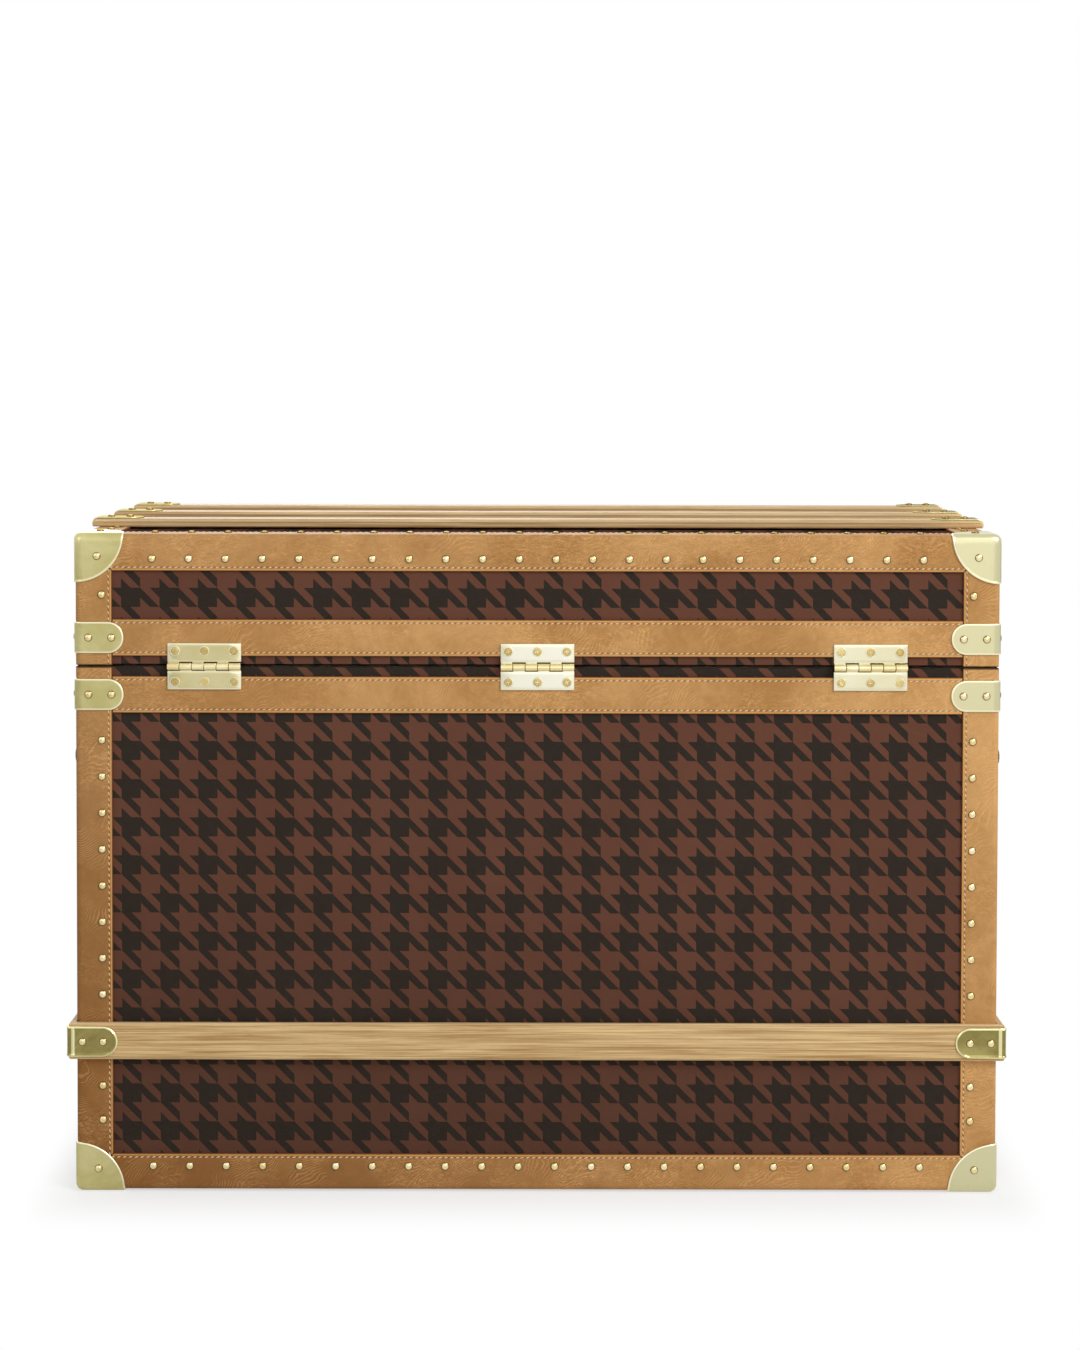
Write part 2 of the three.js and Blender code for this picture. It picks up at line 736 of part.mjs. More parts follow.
// The hasp is cranked out over the lock's box, carries the staple and ends in a curled pull
function lockHasp() {
  const { half, eye } = strapEye(lockPlateWidth);
  const middle = lockFace + seatGap + strapThickness / 2;
  const boxTop = lockCentreZ + lockBoxHeight / 2;
  const end = frontAxisZ - lockHaspLength;
  const strap = bentStrip([
    [frontAxisY + frontKnuckleRadius - strapThickness, frontAxisZ],
    [frontAxisY + frontKnuckleRadius - strapThickness / 2, frontAxisZ - 2 * frontKnuckleRadius],
    [middle, boxTop + strapThickness + seatGap],
    [middle, end + pullCurl],
    [middle + pullCurl / 2, end],
  ], strapThickness, 2 * half);
  const staple = boxBetween(
    [-stapleWidth / 2, lockFace + seatGap - stapleLength, stapleZ - stapleHeight / 2],
    [stapleWidth / 2, middle, stapleZ + stapleHeight / 2],
  );
  return cut(join(eye, strap, staple), pinBore());
}

// A clasp's body plate carries a domed stud, and its strap has an eye that snaps over it
function claspPlate() {
  const z = frontAxisZ - claspStudDrop;
  const size = [claspPlateWidth, claspPlateHeight];
  const plate = roundPlate(...size, z, plateCornerRadius, seatGap, plateFace);
  const top = plateFace + claspStudHeight;
  const profile = [[0, seatGap], [claspStudRadius, seatGap]];
  for (let i = 0; i <= cornerSteps; i += 1) {
    const angle = (i / cornerSteps) * Math.PI / 2;
    profile.push([claspStudRadius * Math.cos(angle), top - claspStudRadius * (1 - Math.sin(angle))]);
  }
  profile[profile.length - 1][0] = 0;
  const points = profile.map(([r, y]) => new THREE.Vector2(r, y));
  const stud = new THREE.LatheGeometry(points, roundSteps).translate(0, 0, z);
  return join(plate, stud);
}

function claspStrap() {
  const { half, eye } = strapEye(claspPlateWidth);
  const end = frontAxisZ - claspStrapLength;
  const strap = bentStrip([
    [frontAxisY, frontAxisZ],
    [frontAxisY, end + pullCurl],
    [frontAxisY + pullCurl / 2, end],
  ], strapThickness, 2 * half);
  const hole = rodY(
    claspStudRadius + claspHoleClearance, -cutOverrun, cutOverrun,
    0, frontAxisZ - claspStudDrop, roundSteps,
  );
  return cut(join(eye, strap), hole, pinBore());
}

// End handles are drawn on a wall at y = 0 with the outside towards +Y
const padBack = seatGap - canvasInset;
const padFace = padBack + handlePadThickness;
const handleHeight = seamHeight - handleDrop;
const strapMiddle = padFace + seatGap + handleStrapThickness / 2;

// The leather pad behind a handle, with the two bridges that hold the handle's ends
function handleMount() {
  const size = [handleSpan, handlePadHeight];
  const pad = roundPlate(...size, handleHeight, handlePadRadius, padBack, padFace);
  const inner = handleStrapWidth / 2 + bridgeClearance;
  const outer = inner + bridgeWall;
  const roof = strapMiddle + handleStrapThickness / 2 + bridgeClearance;
  const pieces = [];
  const channels = [];
  for (const side of [-1, 1]) {
    const low = side * bridgePlace - bridgeWidth / 2;
    const outline = [
      [padBack + seatGap, -outer],
      [roof, -outer],
      [roof + bridgeWall, -inner],
      [roof + bridgeWall, inner],
      [roof, outer],
      [padBack + seatGap, outer],
    ];
    const shape = new THREE.Shape(outline.map(([y, z]) => new THREE.Vector2(y, z)));
    const arch = new THREE.ExtrudeGeometry(shape, { depth: bridgeWidth, bevelEnabled: false });
    pieces.push(arch.applyMatrix4(acrossX).translate(low, 0, handleHeight));
    channels.push(boxBetween(
      [low - cutOverrun, padFace, handleHeight - inner],
      [low + bridgeWidth + cutOverrun, roof, handleHeight + inner],
    ));
  }
  return cut(join(pad, ...pieces), ...channels);
}

// A bowed leather handle: flat ends under the bridges swell into a rolled grip that stands clear
function handleGrip() {
  const endX = handleSpan / 2 - handleEndGap;
  const rise = handleBow - handleGripThickness / 2 - strapMiddle;
  const rampStart = handleRampEnd - handleRampLength;
  const stand = (x) => 1 - THREE.MathUtils.smoothstep(Math.abs(x), rampStart, handleRampEnd);
  const rings = [];
  for (let i = 0; i <= gripStations; i += 1) {
    const x = endX * (2 * i / gripStations - 1);
    const share = stand(x);
    const step = endX / gripStations;
    const slope = (stand(x + step) - stand(x - step)) * rise / (2 * step);
    const along = new THREE.Vector3(1, slope, 0).normalize();
    const out = new THREE.Vector3(-along.y, along.x, 0);
    const halfOut = THREE.MathUtils.lerp(handleStrapThickness, handleGripThickness, share) / 2;
    const halfUp = THREE.MathUtils.lerp(handleStrapWidth, handleGripWidth, share) / 2;
    const roundness = THREE.MathUtils.lerp(handleStripRoundShare, handleGripRoundShare, share);
    const ring = [];
    for (let k = 0; k < gripSides; k += 1) {
      const turn = ((2 * k + 1) / gripSides) * Math.PI;
      const cos = Math.sign(Math.cos(turn)) * Math.abs(Math.cos(turn)) ** roundness;
      const sin = Math.sign(Math.sin(turn)) * Math.abs(Math.sin(turn)) ** roundness;
      const point = new THREE.Vector3(x, strapMiddle + rise * share, handleHeight);
      ring.push(point.addScaledVector(out, halfOut * cos).addScaledVector(upwards, halfUp * sin));
    }
    rings.push(ring);
  }
  return loft(rings);
}

const upwards = new THREE.Vector3(0, 0, 1);

// Assembly
const ends = [['left', -1], ['right', 1]];
const faces = [['front', -1], ['back', 1]];

addPiece(root, 'body_carcass', carcass(), 'lining');
const bodyCanvas = openBox(canvasInset, canvasThickness, leatherBottom + canvasInset, bodyRim);
addPiece(root, 'body_canvas', bodyCanvas, 'canvas');
addPiece(root, 'body_leather_binding', binding(leatherBottom, bodyRim), 'leather');
addPiece(root, 'body_collar', collarWithStuds(), 'lining');
addPiece(root, 'tray', tray(), 'lining');

const lidCarcass = openBox(plyInset, plyThickness, trunkHeight - plyInset, lidRim);
const lidCanvas = openBox(canvasInset, canvasThickness, trunkHeight - canvasInset, lidRim);
addPiece(root, 'lid_carcass', lidCarcass, 'ply');
addPiece(root, 'lid_canvas', lidCanvas, 'canvas');
addPiece(root, 'lid_leather_binding', binding(trunkHeight, lidRim), 'leather');
addPiece(root, 'lid_lining', lidLining(), 'lining');

// One corner piece at each upright edge, turned a quarter at a time about the trunk's middle
const quarterNames = ['back_right', 'back_left', 'front_left', 'front_right'];
const rimClampRise = rimStripHeight + rimBandWidth / 2;
const beltFace = seatGap + beltThickness;
quarterNames.forEach((place, quarter) => {
  const [signX, signY] = quarterSigns[quarter];
  const turn = quarter * Math.PI / 2;
  const top = addPiece(root, `lid_corner_${place}`, cornerCap(), 'brass');
  top.position.set(signX * halfLength, signY * halfDepth, trunkHeight);
  top.rotation.z = turn;
  const bottom = addPiece(root, `body_corner_${place}`, cornerCap(), 'brass');
  bottom.position.set(signX * halfLength, signY * halfDepth, leatherBottom);
  bottom.rotation.set(Math.PI, 0, -(quarter + 1) * Math.PI / 2);
  for (const [part, z] of [['lid', lidRim + rimClampRise], ['body', bodyRim - rimClampRise]]) {
    const clamp = edgeClamp(rimClampLength, rimClampHeight, edgeRadius);
    const mesh = addPiece(root, `${part}_rim_clamp_${place}`, clamp, 'brass');
    mesh.position.set(signX * halfLength, signY * halfDepth, z);
    mesh.rotation.z = turn;
  }
  const beltClamp = edgeClamp(beltClampLength, beltClampHeight, 0);
  const belt = addPiece(root, `belt_clamp_${place}`, beltClamp, 'brass');
  belt.position.set(signX * (halfLength + beltFace), signY * (halfDepth + beltFace), beltHeight);
  belt.rotation.z = turn;
});

for (const [place, sign] of faces) {
  const slat = addPiece(root, `belt_slat_${place}`, beltSlat(halfLength), 'wood');
  slat.position.set(0, sign * halfDepth, beltHeight);
  slat.rotation.z = sign > 0 ? 0 : Math.PI;
}
for (const [place, sign] of ends) {
  const slat = addPiece(root, `belt_slat_${place}`, beltSlat(halfDepth), 'wood');
  slat.position.set(sign * halfLength, 0, beltHeight);
  slat.rotation.z = -sign * Math.PI / 2;
}

for (const [place, share] of [['front', -1], ['middle', 0], ['back', 1]]) {
  const slat = addPiece(root, `lid_slat_${place}`, lidSlat(), 'wood');
  slat.position.set(0, share * lidSlatSpacing, trunkHeight + seatGap);
}

// Back hinges, and the leaves of one hinge differ in the knuckles that they keep
const backHinge = {
  width: hingeLength,
  reach: hingeHalfHeight,
  plate: hingePlate,
  radius: hingeKnuckleRadius,
  pinRadius: hingePinRadius,
  shares: Array(knuckleCount).fill(1),
  corner: hingeCornerRadius,
};
const hingeSpacing = halfLength - rimClampLength - hingeEndGap - hingeLength / 2;
for (const [place, share] of [['left', -1], ['middle', 0], ['right', 1]]) {
  const bodyLeaf = hingeLeaf({ ...backHinge, parity: 0, side: -1, carriesPin: true });
  const lidLeaf = hingeLeaf({ ...backHinge, parity: 1, side: 1, carriesPin: false });
  for (const [part, leaf] of [['body', bodyLeaf], ['lid', lidLeaf]]) {
    const mesh = addPiece(root, `hinge_${part}_leaf_${place}`, leaf, 'brass');
    mesh.position.set(share * hingeSpacing, halfDepth, seamHeight);
  }
}

// The front: everything here is turned half round, to face -Y
const front = new THREE.Group();
front.rotation.z = Math.PI;
front.position.y = -halfDepth;
root.add(front);
addPiece(front, 'lock_case', lockCase(), 'brass');
addPiece(front, 'lock_cylinder', lockCylinder(), 'steel');
addPiece(front, 'lock_lid_plate', frontLeaf(lockPlateWidth, lockLidPlateHeight), 'brass');
addPiece(front, 'lock_hasp', lockHasp(), 'brass');
for (const [place, sign] of ends) {
  const pieces = [
    ['plate', claspPlate()],
    ['lid_plate', frontLeaf(claspPlateWidth, claspLidPlateHeight)],
    ['strap', claspStrap()],
  ];
  for (const [part, geometry] of pieces) {
    addPiece(front, `clasp_${part}_${place}`, geometry, 'brass').position.x = -sign * claspSpacing;
  }
}

for (const [place, sign] of ends) {
  const end = new THREE.Group();
  end.rotation.z = -sign * Math.PI / 2;
  end.position.x = sign * halfLength;
  root.add(end);
  addPiece(end, `handle_mount_${place}`, handleMount(), 'brass');
  addPiece(end, `handle_grip_${place}`, handleGrip(), 'darkLeather');
  addPiece(root, `stay_lower_arm_${place}`, lowerArm(sign), 'brass');
  addPiece(root, `stay_upper_arm_${place}`, upperArm(sign), 'brass');
}

export default root;
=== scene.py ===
import json
import math

import bpy
import numpy as np
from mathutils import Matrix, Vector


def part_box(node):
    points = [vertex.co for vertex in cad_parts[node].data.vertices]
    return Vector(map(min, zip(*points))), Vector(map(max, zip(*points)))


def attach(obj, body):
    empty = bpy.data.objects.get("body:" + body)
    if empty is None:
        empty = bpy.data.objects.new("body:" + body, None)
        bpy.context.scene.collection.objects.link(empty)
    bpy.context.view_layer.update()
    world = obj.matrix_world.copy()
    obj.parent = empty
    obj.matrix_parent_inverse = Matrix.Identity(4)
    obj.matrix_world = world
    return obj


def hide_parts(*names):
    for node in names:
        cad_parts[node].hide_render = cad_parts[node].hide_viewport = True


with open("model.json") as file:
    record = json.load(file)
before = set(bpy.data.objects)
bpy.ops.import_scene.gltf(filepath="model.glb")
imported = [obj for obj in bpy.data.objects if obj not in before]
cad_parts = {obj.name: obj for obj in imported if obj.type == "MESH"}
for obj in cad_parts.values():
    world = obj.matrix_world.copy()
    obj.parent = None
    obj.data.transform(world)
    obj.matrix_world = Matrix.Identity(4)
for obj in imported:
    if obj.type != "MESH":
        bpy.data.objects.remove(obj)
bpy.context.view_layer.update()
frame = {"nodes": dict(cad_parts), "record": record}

# A flat-topped travelling trunk in canvas, leather, brass and hardwood, seen from its hinge side.
# Metres, +Z up. The long side runs along X, the hinges are at +Y and the lock at -Y.

MM = 0.001

# Sizes read from the frame
BODY_LOW, BODY_HIGH = np.array(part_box("body_leather_binding"))
LID_LOW, LID_HIGH = np.array(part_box("lid_leather_binding"))
HALF = BODY_HIGH[:2]
BODY_BOTTOM, BODY_RIM = BODY_LOW[2], BODY_HIGH[2]
LID_RIM, LID_TOP = LID_LOW[2], LID_HIGH[2]
BELT_LOW, BELT_HIGH = np.array(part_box("belt_slat_back"))
BELT_Z = (BELT_LOW[2] + BELT_HIGH[2]) / 2
RIM_CLAMP_Z = {
    half: np.mean([corner[2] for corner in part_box(f"{half}_rim_clamp_back_left")])
    for half in ("lid", "body")
}

SEAM_Z = (BODY_RIM + LID_RIM) / 2
SIGNS = ((1, 1), (-1, 1), (-1, -1), (1, -1))
HALVES = {
    "body": {"flat": BODY_BOTTOM, "rim": BODY_RIM, "up": -1},
    "lid": {"flat": LID_TOP, "rim": LID_RIM, "up": 1},
}

# Leather, stitching and nails
LEATHER = 2.0 * MM
EDGE_RADIUS = 6.0 * MM
BAND_WIDTH = 36.0 * MM
RIM_STRIP = 9.0 * MM
BAND_GAP = 0.45 * MM
BAND_EDGE = 0.8 * MM
CORNER_GUARD = 12.0 * MM
STITCH_INSET = 3.5 * MM
STITCH_PITCH = 5.7 * MM
NAIL_RADIUS = 3.9 * MM
NAIL_HEIGHT = 2.0 * MM
NAIL_INSET = 24.0 * MM
COLUMN_INSET = 26.0 * MM
NAIL_PITCH = 35.8 * MM
FIRST_NAIL_IN = 75.0 * MM
LID_COLUMN_NAIL = 59.2 * MM
BODY_COLUMN_NAILS = 8
BELOW_RIM = 71.6 * MM
ABOVE_BELT = 45.0 * MM
FOOT_NAILS = (103.2 * MM, 69.6 * MM)

# Brass plates
BRASS = 1.2 * MM
CAP_REACH = 47.4 * MM
CLAMP_LENGTH = 47.5 * MM
CLAMP_HEIGHT = 30.6 * MM
BELT_CLAMP_HEIGHT = 30.0 * MM
BELT_CLAMP_LENGTH = 48.0 * MM
CLAMP_NAILS = (13.2 * MM, 35.6 * MM)
BELT_CLAMP_NAILS = (15.0 * MM, 35.2 * MM)
SLAT_CLAMP_NAILS = (16.0 * MM, 35.0 * MM)
CAP_NAIL = 21.6 * MM
CAP_RIDGE = 0.35 * MM
SLAT_CLAMP_LENGTH = 49.0 * MM
SLAT_CLAMP_WIDTH = 31.0 * MM
SLAT_CLAMP_SHORT = 0.6 * MM
SLAT_EDGE = 5.0 * MM
BELT_EDGE = 1.6 * MM
BELT_CLAMP_BEAD = 0.9 * MM
PLATE_EDGE = 0.8 * MM
THIN_EDGE = 0.7 * MM
SEAT = 0.3 * MM

# Hinges, lock and clasps
PLATE = 1.6 * MM
HINGE_RADIUS = 3.5 * MM
HINGE_KNUCKLES = 6
HINGE_NOTCH = 0.6 * MM
HINGE_SCREW_STEP = 28.6 * MM
HINGE_SCREW_FROM_AXIS = 15.0 * MM
KNUCKLE_PLAY = 0.25 * MM
LEAF_RADIUS = 3.2 * MM
LEAF_KNUCKLES = (1, 3, 1)
LEAF_CORNER = 5.0 * MM
LEAF_NOTCH = 0.5 * MM
LEAF_SCREW_INSET = 7.5 * MM
WIDE_LEAF = 50.0 * MM
WIDE_LEAF_SCREWS = (8.0 * MM, 12.0 * MM)

# Wooden slats
SLAT_ROUND = 2.5 * MM
BELT_SIDES = (("back", 0, 1), ("front", 0, -1), ("right", 1, 1), ("left", 1, -1))

# End handles
PAD_SIZE = (236.0 * MM, 58.0 * MM)
PAD_THICKNESS = 3.0 * MM
PAD_CORNER = 11.6 * MM
PAD_SUNK = 2.0 * MM
PAD_FACE = PAD_THICKNESS - PAD_SUNK
BRIDGE_FROM_MIDDLE = 98.0 * MM
BRIDGE_RIVET_STEP = 7.0 * MM
BRIDGE_RIVET_RISE = 24.4 * MM
BRIDGE_WALL = 2.0 * MM
GRIP_HALF = 115.0 * MM
GRIP_RINGS = 81
GRIP_SIDES = 32
GRIP_OUT = 3.8 * MM
GRIP_BOW = 27.7 * MM
BOW_FULL, BOW_START = 34.0 * MM, 80.0 * MM
GRIP_END = (5.0 * MM, 34.0 * MM)
GRIP_MIDDLE = (19.0 * MM, 27.0 * MM)

# The tray's pulls
TRAY_WALL = 7.0 * MM
PULL_THICKNESS = 1.8 * MM
PULL_WIDTH = 34.0 * MM
PULL_CORNER = 6.0 * MM
PULL_INNER_END = -54.0 * MM
PULL_CROWN = 15.0 * MM
PULL_OUTER_END = -28.0 * MM
PULL_BEND = 4.3 * MM
PULL_RIVETS = (-18.0 * MM, -41.0 * MM)


def linear(red, green, blue):
    """A colour written as 0 to 255 display values, as the linear values that shaders take."""
    values = np.array([red, green, blue]) / 255
    curved = ((values + 0.055) / 1.055) ** 2.4
    return (*np.where(values <= 0.04045, values / 12.92, curved), 1.0)


def toned(colour, *shares):
    """A colour whose red, green and blue are multiplied by one share, or by one each."""
    return (*np.clip(np.multiply(colour[:3], shares), 0, 1).tolist(), 1.0)


class Value:
    """A shader socket that takes part in Python expressions."""

    def __init__(self, finish, socket):
        self.finish = finish
        self.socket = socket

    def calc(self, operation, *others, clamp=False):
        settings = {"operation": operation, "use_clamp": clamp}
        return self.finish.add("ShaderNodeMath", settings, dict(enumerate((self, *others))))

    def __add__(self, other):
        return self.calc("ADD", other)

    def __sub__(self, other):
        return self.calc("SUBTRACT", other)

    def __mul__(self, other):
        return self.calc("MULTIPLY", other)

    def __truediv__(self, other):
        return self.calc("DIVIDE", other)

    def __rsub__(self, other):
        return self.finish.add("ShaderNodeMath", {"operation": "SUBTRACT"}, {0: other, 1: self})

    def __abs__(self):
        return self.calc("ABSOLUTE")

    __radd__ = __add__
    __rmul__ = __mul__

    def ramp(self, low, high):
        """0 below low and 1 above high, smooth between. High may be the lower of the two."""
        settings = {"interpolation_type": "SMOOTHSTEP"}
        return self.finish.add("ShaderNodeMapRange", settings, {0: self, 1: low, 2: high, 3: 0.0, 4: 1.0})

    def near(self, middle, low, high):
        """1 within low of a middle value, and 0 beyond high from it."""
        return 1 - abs(self - middle).ramp(low, high)

    def above(self, edge):
        return self.calc("GREATER_THAN", edge)

    def fraction(self):
        return self.calc("FRACT")

    def wave(self):
        """The sine of as many turns."""
        return (self * math.tau).calc("SINE")


class Finish:
    """A material being made: its node tree and its Principled shader."""

    def __init__(self, name, **fixed):
        self.material = bpy.data.materials.new(name)
        self.material.use_nodes = True
        self.tree = self.material.node_tree
        self.shader = self.tree.nodes["Principled BSDF"]
        for socket, value in fixed.items():
            self.shader.inputs[socket.replace("_", " ")].default_value = value

    def feed(self, socket, value):
        if isinstance(value, Value):
            self.tree.links.new(value.socket, socket)
        else:
            socket.default_value = value

    def add(self, kind, settings, inputs, output=0):
        """A node of a kind, with its settings made first and then its sockets' values or links."""
        node = self.tree.nodes.new(kind)
        for name, setting in settings.items():
            if name == "stops":
                for element, (place, colour) in zip(self.ramp_elements(node, len(setting)), setting):
                    element.position = place
                    element.color = colour
            else:
                setattr(node, name, setting)
        for name, value in inputs.items():
            self.feed(node.inputs[name], value)
        return Value(self, node.outputs[output])

    @staticmethod
    def ramp_elements(node, count):
        elements = node.color_ramp.elements
        while len(elements) < count:
            elements.new(0.5)
        return elements

    def shade(self, socket, value):
        self.feed(self.shader.inputs[socket], value)

    def place(self):
        return self.add("ShaderNodeTexCoord", {}, {}, "Object")

    def surface(self):
        return self.add("ShaderNodeTexCoord", {}, {}, "UV")

    def split(self, vector):
        node = self.tree.nodes.new("ShaderNodeSeparateXYZ")
        self.feed(node.inputs[0], vector)
        return [Value(self, output) for output in node.outputs]

    def merge(self, x, y, z=0.0):
        return self.add("ShaderNodeCombineXYZ", {}, {0: x, 1: y, 2: z})

    def noise(self, vector, scale, detail=3.0, roughness=0.5, distortion=0.0):
        inputs = {"Vector": vector, "Scale": scale, "Detail": detail, "Roughness": roughness}
        return self.add("ShaderNodeTexNoise", {}, {**inputs, "Distortion": distortion}, "Fac")

    def mix(self, factor, first, second):
        return self.add("ShaderNodeMix", {"data_type": "RGBA"}, {0: factor, 6: first, 7: second}, 2)

    def stretch(self, vector, scale):
        return self.add("ShaderNodeMapping", {"vector_type": "POINT"}, {"Vector": vector, "Scale": scale})

    def bump(self, height, strength, distance):
        inputs = {"Strength": strength, "Distance": distance, "Height": height}
        self.shade("Normal", self.add("ShaderNodeBump", {}, inputs))


def canvas_finish():
    """Coated canvas printed with a two-colour houndstooth and embossed with a fine cross grain.

    Warp stripes and weft stripes share one period, and a diagonal of half the period says which shows.
    Painted shade darkens the gap between body and lid, and painted shade dims the cloth towards
    the floor, sooner to one side. A painted sheen lightens the ridges of the cross grain.
    """
    finish = Finish("coated_canvas", Specular_IOR_Level=0.0)
    x, y, z = finish.split(finish.place())
    skin = 2.8 * MM
    on_end = abs(x).above(HALF[0] - skin)
    on_top = z.above(LID_TOP - skin)
    under = 1 - z.above(BODY_BOTTOM + skin)
    flat = on_top + under
    across = x * (1 - on_end) + y * on_end
    along = z * (1 - flat) + y * flat
    period = 37.4 * MM
    shift = 6.0 * MM
    u = (across + shift) / period
    v = (along + shift) / period
    warp = u.fraction().above(0.5)
    weft = v.fraction().above(0.5)
    shown = ((u - v) * 2).fraction().above(0.5)
    tooth = warp * shown + weft * (1 - shown)
    spread = finish.merge(across, along)
    cloud = finish.noise(spread, 9.0, 4.0, 0.6)
    pitch = 1.35 * MM
    wander = finish.noise(spread, 160.0, 2.0) * 0.9
    rising = ((across + along) / pitch + wander).wave()
    falling = ((across - along) / pitch + wander).wave()
    patches = finish.noise(spread, 240.0, 1.0).ramp(0.4, 0.6)
    grain = rising * patches + falling * (1 - patches)
    brown = finish.mix(cloud, linear(92, 54, 41), linear(108, 69, 54))
    dark = finish.mix(cloud, linear(27, 26, 23), linear(38, 36, 33))
    colour = finish.mix(tooth, brown, dark)
    # Painted shade: a near-black line in the gap between body and lid
    middle = SEAM_Z + 0.5 * MM
    gap = z.near(middle, 1.3 * MM, 2.0 * MM)
    colour = finish.mix(gap * 0.92, colour, linear(6, 5, 5))
    # Painted shade: the cloth darkens towards the floor, sooner to one side
    dim_from, dim_to = 360 * MM, 20 * MM
    low = (z - x * 0.20).ramp(dim_from, dim_to)
    colour = finish.mix(low * 0.26, colour, linear(20, 14, 12))
    # Painted sheen: the ridges of the cross grain are lightened
    lit = (grain * 0.5 + 0.5).ramp(0.3, 1.0) * (1 - gap) * 0.25
    finish.shade("Base Color", finish.mix(lit, colour, linear(136, 112, 96)))
    finish.shade("Roughness", 0.46 + cloud * 0.14)
    finish.bump(grain, 0.6, 0.14 * MM)
    return finish.material


def leather_finish(name, light, deep, stitched=True, gloss=0.46):
    """Vegetable-tanned leather: clouds of tone, wrinkles, creases, a pebbled grain, burnished edges and
    painted shade.

    The piece's own map runs along the band and in from its nearer edge, in metres. A crease lies
    where a stretched and distorted noise passes its middle level. Wrinkles are the crests of a wave
    whose direction a broad noise bends, in patches. Low down and to one side the leather is darkened
    to a deeper tan as painted shade, and it is a little darker along the lid's top edge. On stitched
    bands, painted shade darkens the very edge and the gap between body and lid.
    """
    finish = Finish(name, Specular_IOR_Level=0.07)
    place = finish.place()
    x, y, z = finish.split(place)
    cloud = finish.noise(place, 7.0, 5.0, 0.62, 0.8)
    mottle = finish.noise(place, 60.0, 5.0, 0.70, 1.6)
    tone = (cloud * 0.78 + mottle * 0.28).ramp(0.32, 0.76)
    colour = finish.mix(tone, deep, light)
    # Painted shade: darker towards the floor and to one side
    painted_side_shade = (x * 0.70 - z * 0.86 + cloud * 0.55).ramp(-0.10, 0.56)
    umber = toned(deep, 0.47, 0.36, 0.28)
    colour = finish.mix(painted_side_shade * 0.79, colour, umber)
    # A little darker along the lid's top edge
    near_lid_top = z.ramp(LID_TOP - 60 * MM, LID_TOP - 25 * MM)
    colour = finish.mix(near_lid_top * 0.09, colour, umber)
    creases = 0.0
    for turn, scale, width in ((0.7, 22.0, 0.026), (-0.5, 36.0, 0.034), (1.9, 60.0, 0.040)):
        settings = {"vector_type": "POINT"}
        inputs = {"Vector": place, "Rotation": (turn, turn, turn), "Scale": (1.0, 1.0, 2.6)}
        slanted = finish.add("ShaderNodeMapping", settings, inputs)
        level = finish.noise(slanted, scale, 3.0, 0.55, 3.0)
        creases = level.near(0.5, 0.0, width) * 0.5 + creases
    where = finish.noise(place, 13.0, 2.0).ramp(0.40, 0.60)
    bent = finish.noise(place, 11.0, 2.0, 0.5) * 30.0 + finish.noise(place, 90.0, 2.0) * 2.2
    wave_length = 3.0 * MM
    wave = ((x * 0.6 + y * 0.5 + z * 0.75) / wave_length + bent).wave()
    wrinkles = finish.noise(place, 24.0, 3.0).ramp(0.46, 0.62) * wave.ramp(0.20, 1.0)
    creases = creases * where * 0.7 + wrinkles * 0.40
    colour = finish.mix(creases * 0.62, colour, toned(light, 1.42))
    fleck = finish.noise(place, 520.0, 3.0, 0.6).ramp(0.50, 0.72) * 0.32
    colour = finish.mix(fleck, colour, deep)
    height = finish.noise(place, 1100.0, 3.0, 0.6) * 0.7 - creases * 0.9 + mottle * 0.8
    if stitched:
        along, inset, _ = finish.split(finish.surface())
        edge = 1 - inset.ramp(1.2 * MM, 2.6 * MM)
        colour = finish.mix(edge * 0.66, colour, linear(226, 164, 98))
        # Painted shade in the gap between body and lid
        gap = z.near(SEAM_Z, 1.3 * MM, 2.4 * MM)
        colour = finish.mix(gap * 0.80, colour, linear(40, 22, 12))
        # Painted shadow along the band's very edge, where it meets the canvas
        rim = 1 - inset.ramp(0.4 * MM, 1.1 * MM)
        colour = finish.mix(rim * 0.85, colour, linear(96, 52, 24))
        seam = inset.near(STITCH_INSET, 0.35 * MM, 1.2 * MM)
        colour = finish.mix(seam * 0.36, colour, linear(140, 88, 46))
        hole = (abs((along / STITCH_PITCH).fraction() - 0.5) * 2).ramp(0.62, 1.0)
        colour = finish.mix(seam * hole * 0.50, colour, linear(90, 52, 28))
        height = height - seam * 1.6
    finish.shade("Base Color", colour)
    finish.shade("Roughness", gloss + tone * 0.12)
    finish.bump(height, 0.6, 0.16 * MM)
    return finish.material


WHITE = (1.0, 1.0, 1.0, 1.0)
EDGE_HIGHLIGHT_REACH = (1.0 * MM, 2.2 * MM)


